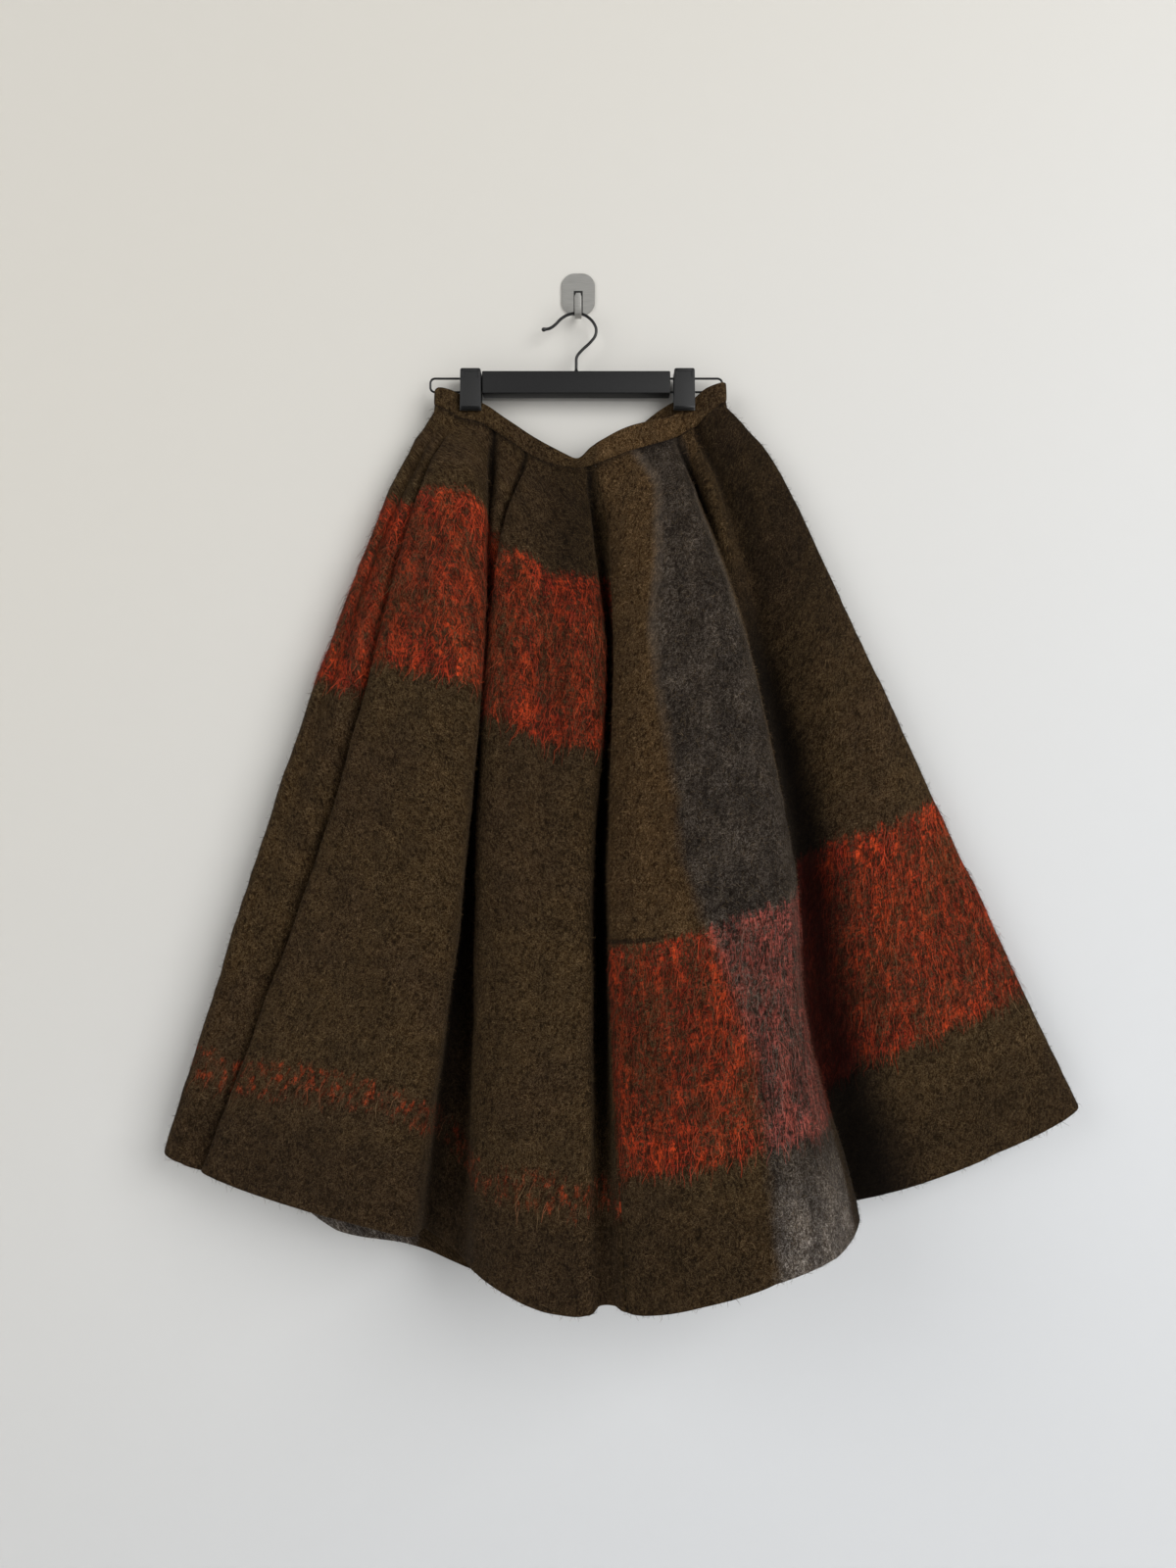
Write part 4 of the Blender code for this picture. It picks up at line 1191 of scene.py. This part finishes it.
def addLoft(shape, loops):
    # skin between closed loops of points, with flat ends
    rings = [[shape.verts.new(point) for point in loop] for loop in loops]
    for first, second in zip(rings, rings[1:]):
        for k in range(len(first)):
            n = (k + 1) % len(first)
            shape.faces.new((first[k], first[n], second[n], second[k]))
    shape.faces.new(rings[0])
    shape.faces.new(rings[-1])


def addWire(shape, points, radii, sides=16):
    # round wire that lies in an upright plane, its ends domed
    points = np.array(points, float)
    along = np.gradient(points, axis=0)
    along /= np.linalg.norm(along, axis=1)[:, None]
    radii = np.broadcast_to(radii, len(points)).copy()
    places, ways, sizes = [], [], []
    for part in (1.0, 0.8, 0.5):
        places.append(points[0] - along[0] * radii[0] * part)
        ways.append(along[0])
        sizes.append(radii[0] * math.sqrt(max(1 - part**2, 0.02)))
    places += list(points)
    ways += list(along)
    sizes += list(radii)
    for part in (0.5, 0.8, 1.0):
        places.append(points[-1] + along[-1] * radii[-1] * part)
        ways.append(along[-1])
        sizes.append(radii[-1] * math.sqrt(max(1 - part**2, 0.02)))
    angles = np.linspace(0, 2 * math.pi, sides, endpoint=False)
    depth = np.array((0.0, 1.0, 0.0))
    loops = []
    for place, way, size in zip(places, ways, sizes):
        beside = np.cross(way, depth)
        loops.append([place + size * (math.cos(a) * depth + math.sin(a) * beside) for a in angles])
    addLoft(shape, loops)


def roundedOutline(width, height, corner, steps=10):
    made = []
    for sideX, sideZ, start in ((1, 1, 0), (-1, 1, 90), (-1, -1, 180), (1, -1, 270)):
        for step in range(steps + 1):
            angle = math.radians(start + 90 * step / steps)
            made.append((sideX * (width / 2 - corner) + corner * math.cos(angle),
                         sideZ * (height / 2 - corner) + corner * math.sin(angle)))
    return made


def hangerBar(material):
    v = hangerValues
    left, right = v["across"] - v["barLength"] / 2, v["across"] + v["barLength"] / 2
    front, back = -v["out"] - v["barDepth"] / 2, -v["out"] + v["barDepth"] / 2
    low = v["barTop"] - v["barHeight"]
    shape = bmesh.new()
    addSoftBox(shape, (left, front, low), (right, back, v["barTop"]), v["barRound"])
    for end, way in ((left, 1), (right, -1)):
        inside, outside = sorted((end - way * 0.0002, end + way * v["socketOut"]))
        for height in (v["loopTop"], v["loopBottom"]):
            addSoftBox(shape, (inside, -v["out"] - v["socket"], height - v["socket"]),
                       (outside, -v["out"] + v["socket"], height + v["socket"]), v["socketRound"])
    finishShape("hanger_bar_fine", shape, material, "hanger_bar")


def hangerHook(material):
    v = hangerValues
    route = np.array([(x * mm, -v["out"], z * mm) for x, z in crookRoute])
    route = rounded(route, [7] * (len(route) - 1))
    fromTip = np.linalg.norm(route - route[-1], axis=1)
    fromBar = np.linalg.norm(route - route[0], axis=1)
    radii = v["wire"] / 2 + (v["tip"] - v["wire"]) / 2 * np.clip(1 - fromTip / v["tipLength"], 0, 1) ** 0.5
    radii = np.maximum(radii, v["ferrule"] / 2 * np.clip(1.3 - fromBar / v["ferruleHeight"], 0, 1) ** 0.5)
    shape = bmesh.new()
    addWire(shape, route, radii)
    finishShape("hanger_hook_fine", shape, material, "hanger_hook")


def wireLoop(name, way, material):
    v = hangerValues
    start = v["across"] + way * v["barLength"] / 2
    turn = v["across"] + way * (v["loopReach"] - v["loopRound"])
    points = [(x, -v["out"], v["loopTop"]) for x in np.linspace(start, turn, 8)[:-1]]
    for centre, first in ((v["loopTop"] - v["loopRound"], 90), (v["loopBottom"] + v["loopRound"], 0)):
        for step in range(7):
            angle = math.radians(first - 90 * step / 6)
            points.append((turn + way * v["loopRound"] * math.cos(angle), -v["out"],
                           centre + v["loopRound"] * math.sin(angle)))
    points += [(x, -v["out"], v["loopBottom"]) for x in np.linspace(turn, start, 8)[1:]]
    shape = bmesh.new()
    addWire(shape, points, v["loopWire"] / 2, 12)
    finishShape(name + "_fine", shape, material, name)


def clip(name, centre, material):
    # two jaws under a bridge, with a raised rim on the front and a dark lip that grips the cloth
    v = clipValues
    half = v["width"] / 2
    halfHeight = 0.022
    front, back = -v["outer"] - v["jaw"], -v["inner"] + v["jaw"]
    shape = bmesh.new()
    outline = roundedOutline(v["width"], v["top"] - v["bottom"], v["corner"], 5)
    middleHeight = (v["top"] + v["bottom"]) / 2
    for y, inwards in ((front, 1), (back, -1)):
        loops = []
        for depth, inset in ((v["jaw"], 0.0), (0.0007, 0.0), (0.0002, 0.0003), (0.0, 0.0009)):
            narrow = 1 - inset / half
            short = 1 - inset / halfHeight
            loops.append([
                (centre + x * narrow * (1 - v["taper"] * max(0, z) / halfHeight), y + inwards * depth,
                 middleHeight + z * short) for x, z in outline
            ])
        addLoft(shape, loops)

    def box(left, right, low, high, near, far, rounding, segments=3):
        addSoftBox(shape, (centre + left, near, low), (centre + right, far, high), rounding, segments)

    bridge = hangerValues["loopTop"] + hangerValues["loopWire"] / 2 + clothValues["seamGap"]
    wide = half * v["bridgeWidth"]
    box(-wide, wide, bridge, v["top"], front + v["bridgeIn"], back - v["bridgeIn"], v["bridgeRound"])
    rimTop = v["top"] - v["rimBelowTop"]
    rimHalf = half * v["rimWidth"]
    rimSide = v["rim"] * 0.7
    for left, right, tall in (
        (-rimHalf, rimHalf, v["rim"]),
        (-rimHalf, rimSide - rimHalf, v["rimLength"]),
        (rimHalf - rimSide, rimHalf, v["rimLength"]),
    ):
        box(left, right, rimTop - tall, rimTop, front - v["rimDeep"], front + 0.001, 0.0004, 2)
    for near, far in ((front + v["lipIn"], -v["outer"]), (-v["inner"], back - v["lipIn"])):
        box(-half, half, v["bottom"] - v["lipDrop"], v["bottom"] + v["lip"], near, far, v["lipRound"], 2)
    finishShape(name + "_fine", shape, material, name)


def wallHook(material):
    v = wallHookValues
    shape = bmesh.new()
    outline = roundedOutline(v["width"], v["height"], v["corner"], 14)
    loops = []
    for depth, inset in ((0.0, 0.0), (v["thickness"] - v["edge"], 0.0), (v["thickness"], v["edge"])):
        loops.append([
            (x * (1 - 2 * inset / v["width"]), -depth, z * (1 - 2 * inset / v["height"])) for x, z in outline
        ])
    addLoft(shape, loops)
    route = rounded(np.array(stripRoute) * mm, [6] * (len(stripRoute) - 1))
    along = np.gradient(route, axis=0)
    along /= np.linalg.norm(along, axis=1)[:, None]
    section = roundedOutline(v["stripWidth"], v["stripThickness"], v["stripRound"], 3)
    loops = []
    for i, (place, way) in enumerate(zip(route, along)):
        narrowed = 1.0 - 0.45 * max(0.0, 1 - (len(route) - 1 - i) / 5) ** 2 - 0.3 * max(0.0, 1 - i / 5) ** 2
        loops.append([(x * narrowed, -(place[0] - way[1] * t), place[1] + way[0] * t) for x, t in section])
    addLoft(shape, loops)
    finishShape("wall_hook_fine", shape, material, "wall_hook")


def grainGroup():
    # a fine grain in two tones
    tree, given, made = newGroup(
        "Fine grain",
        [("Where", "NodeSocketVector"), ("Scale", "NodeSocketFloat"), ("Roughness", "NodeSocketFloat"),
         ("Dark", "NodeSocketColor"), ("Light", "NodeSocketColor")],
        [("Color", "NodeSocketColor"), ("Grain", "NodeSocketFloat")],
    )
    grain = noiseNode(tree, given["Where"], given["Scale"], 2.0, given["Roughness"])
    tree.links.new(mixNode(tree, grain, given["Dark"], given["Light"]), made["Color"])
    tree.links.new(grain, made["Grain"])
    return tree


fineGrain = grainGroup()


def grainedMaterial(name, dark, light, shine, scale=900.0, roughness=0.5, stretch=None):
    # a new material with its shader's inputs, where each point of its piece lies, and its grain
    material, tree, shader = newMaterial(name)
    shader.inputs["Specular IOR Level"].default_value = shine
    where = tree.nodes.new("ShaderNodeTexCoord").outputs["Object"]
    grain = useGroup(tree, fineGrain, {
        "Where": stretched(tree, where, stretch) if stretch else where,
        "Scale": scale, "Roughness": roughness, "Dark": dark, "Light": light,
    })
    return material, tree, shader, partsOf(tree, where), grain


def wireMaterial():
    material, tree, shader, _, grain = grainedMaterial(
        "black lacquered wire", (0.006, 0.006, 0.006), (0.014, 0.014, 0.014), 0.35)
    tree.links.new(grain["Color"], shader.inputs["Base Color"])
    tree.links.new(stepNode(tree, grain["Grain"], 0.2, 0.8, 0.30, 0.40), shader.inputs["Roughness"])
    return material


def barMaterial():
    # satin black, with painted shade that makes its underside black
    v = hangerValues
    material, tree, shader, place, grain = grainedMaterial(
        "satin black bar", (0.009, 0.009, 0.0092), (0.018, 0.018, 0.018), 0.2)
    low = v["barTop"] - v["barHeight"]
    # painted shade: the underside is painted black
    under = stepNode(tree, place[2], low + 0.0011, low + 0.0003)
    tree.links.new(mixNode(tree, under, grain["Color"], (0.001, 0.001, 0.001)), shader.inputs["Base Color"])
    shader.inputs["Roughness"].default_value = 0.55
    return material


def clipMaterial():
    # matte black plastic, darker and glossier at the lip that grips the cloth
    v = clipValues
    material, tree, shader, place, grain = grainedMaterial(
        "matte black clip", (0.009, 0.009, 0.009), (0.017, 0.017, 0.017), 0.35)
    lipTop = v["bottom"] + v["lip"]
    lip = stepNode(tree, place[2], lipTop, lipTop - 0.0008)
    tree.links.new(mixNode(tree, lip, grain["Color"], (0.004, 0.004, 0.004)), shader.inputs["Base Color"])
    tree.links.new(sloped(tree, lip, -0.3, 0.58), shader.inputs["Roughness"])
    return material


def steelMaterial():
    # brushed steel, with painted shade in the stamped slot that the strip is bent out of
    v = wallHookValues
    material, tree, shader, place, grain = grainedMaterial(
        "brushed steel", (0.235, 0.230, 0.215), (0.385, 0.378, 0.355), 0.5,
        roughness=0.6, stretch=(0.08, 1.0, 1.0))
    aside = mathNode(tree, "ABSOLUTE", place[0])
    # painted shade: the slot where the strip leaves the plate is painted dark
    slot = times(
        tree, stepNode(tree, aside, v["slotHalf"] + 0.0005, v["slotHalf"]),
        stepNode(tree, place[2], v["slotTop"] + v["slotBlur"], v["slotTop"]),
        stepNode(tree, place[1], -0.00135, -v["thickness"]),
    )
    tree.links.new(mixNode(tree, slot, grain["Color"], (0.02, 0.019, 0.018)), shader.inputs["Base Color"])
    tree.links.new(stepNode(tree, grain["Grain"], 0.2, 0.8, 0.42, 0.60), shader.inputs["Roughness"])
    shader.inputs["Metallic"].default_value = 0.55
    return material


wireBlack = wireMaterial()
clipBlack = clipMaterial()
hangerBar(barMaterial())
hangerHook(wireBlack)
wireLoop("wire_loop_left", -1, wireBlack)
wireLoop("wire_loop_right", 1, wireBlack)
for name, centre in clipCentres.items():
    clip(name, centre, clipBlack)
wallHook(steelMaterial())
print("hanger and wall hook made")

roomValues = {
    "floorHeight": -1.78,
    "ceiling": 2.4,
    "side": 4.0,
    # the wall paint turns from its first colour to the lit side's colour towards the lower right, as painted
    # light
    "wall": (0.618, 0.594, 0.541),
    "wallLitSide": (0.622, 0.634, 0.646),
    "floor": (0.74, 0.74, 0.74),
    "world": (1.0, 0.99, 0.97, 1.0),
    "worldLight": 0.10,
    "camera": (0.0108, -1.286, -0.5411),
    "lens": 26.7,
}
# power, size, place and what it is turned to
roomLights = {
    "key light": (150.0, 2.8, (2.5, -3.0, 0.6), (0, 0, -0.7)),
    "fill light": (62.0, 2.6, (-2.7, -2.6, 0.7), (0, 0, -0.6)),
    "back light": (70.0, 2.4, (-1.4, 2.6, 0.6), (0, 0, -0.6)),
}


def plane(name, corners, material):
    mesh = bpy.data.meshes.new(name)
    mesh.from_pydata(corners, [], [(0, 1, 2, 3)])
    mesh.materials.append(material)
    return placed(name, mesh)


def paintMaterial(name, colour, litSideColour, oneSided):
    material, tree, shader, place, grain = grainedMaterial(name, colour, litSideColour, 0.5, 260.0)
    # painted light on the wall: towards the lower right the paint turns lighter and cooler; the floor has one
    # colour at both ends
    slant = plus(tree, times(tree, place[0], 0.5), times(tree, place[2], -0.6))
    paintedLightSpread = plus(tree, stepNode(tree, slant, -0.35, 1.0), times(tree, grain["Grain"], 0.04))
    tree.links.new(mixNode(tree, paintedLightSpread, colour, litSideColour), shader.inputs["Base Color"])
    shader.inputs["Roughness"].default_value = 0.9
    if oneSided:
        either = tree.nodes.new("ShaderNodeMixShader")
        clear = tree.nodes.new("ShaderNodeBsdfTransparent")
        tree.links.new(tree.nodes.new("ShaderNodeNewGeometry").outputs["Backfacing"], either.inputs[0])
        tree.links.new(shader.outputs[0], either.inputs[1])
        tree.links.new(clear.outputs[0], either.inputs[2])
        tree.links.new(either.outputs[0], tree.nodes["Material Output"].inputs["Surface"])
    return material


def room():
    v = roomValues
    low, high, side = v["floorHeight"], v["ceiling"], v["side"]
    wall = plane("wall", [(-side, 0.001, low), (side, 0.001, low), (side, 0.001, high), (-side, 0.001, high)],
                 paintMaterial("wall paint", v["wall"], v["wallLitSide"], True))
    floor = plane("floor", [(-side, -5, low), (side, -5, low), (side, 3, low), (-side, 3, low)],
                  paintMaterial("pale floor", v["floor"], v["floor"], False))
    wall.visible_shadow = False     # so that the back light reaches the back of the skirt
    for name, (power, size, place, towards) in roomLights.items():
        light = bpy.data.lights.new(name, "AREA")
        light.energy = power
        light.size = size
        made = placed(name, light)
        made.location = place
        made.visible_camera = False
        aim = np.array(towards, float) - np.array(place, float)
        pan = math.atan2(aim[1], aim[0]) - math.pi / 2
        tilt = math.atan2(aim[2], math.hypot(aim[0], aim[1]))
        made.rotation_euler = (math.pi / 2 + tilt, 0, pan)
    world = bpy.data.worlds.new("soft room light")
    world.use_nodes = True
    background = world.node_tree.nodes["Background"].inputs
    background["Color"].default_value = v["world"]
    background["Strength"].default_value = v["worldLight"]
    bpy.context.scene.world = world
    lens = bpy.data.cameras.new("camera")
    lens.lens = v["lens"]
    lens.sensor_width = 36.0
    lens.clip_start = 0.01
    camera = placed("camera", lens)
    camera.location = v["camera"]
    camera.rotation_euler = (math.pi / 2, 0, 0)
    bpy.context.scene.camera = camera
    bpy.context.scene.view_settings.view_transform = "Standard"


room()
print("room and camera made")
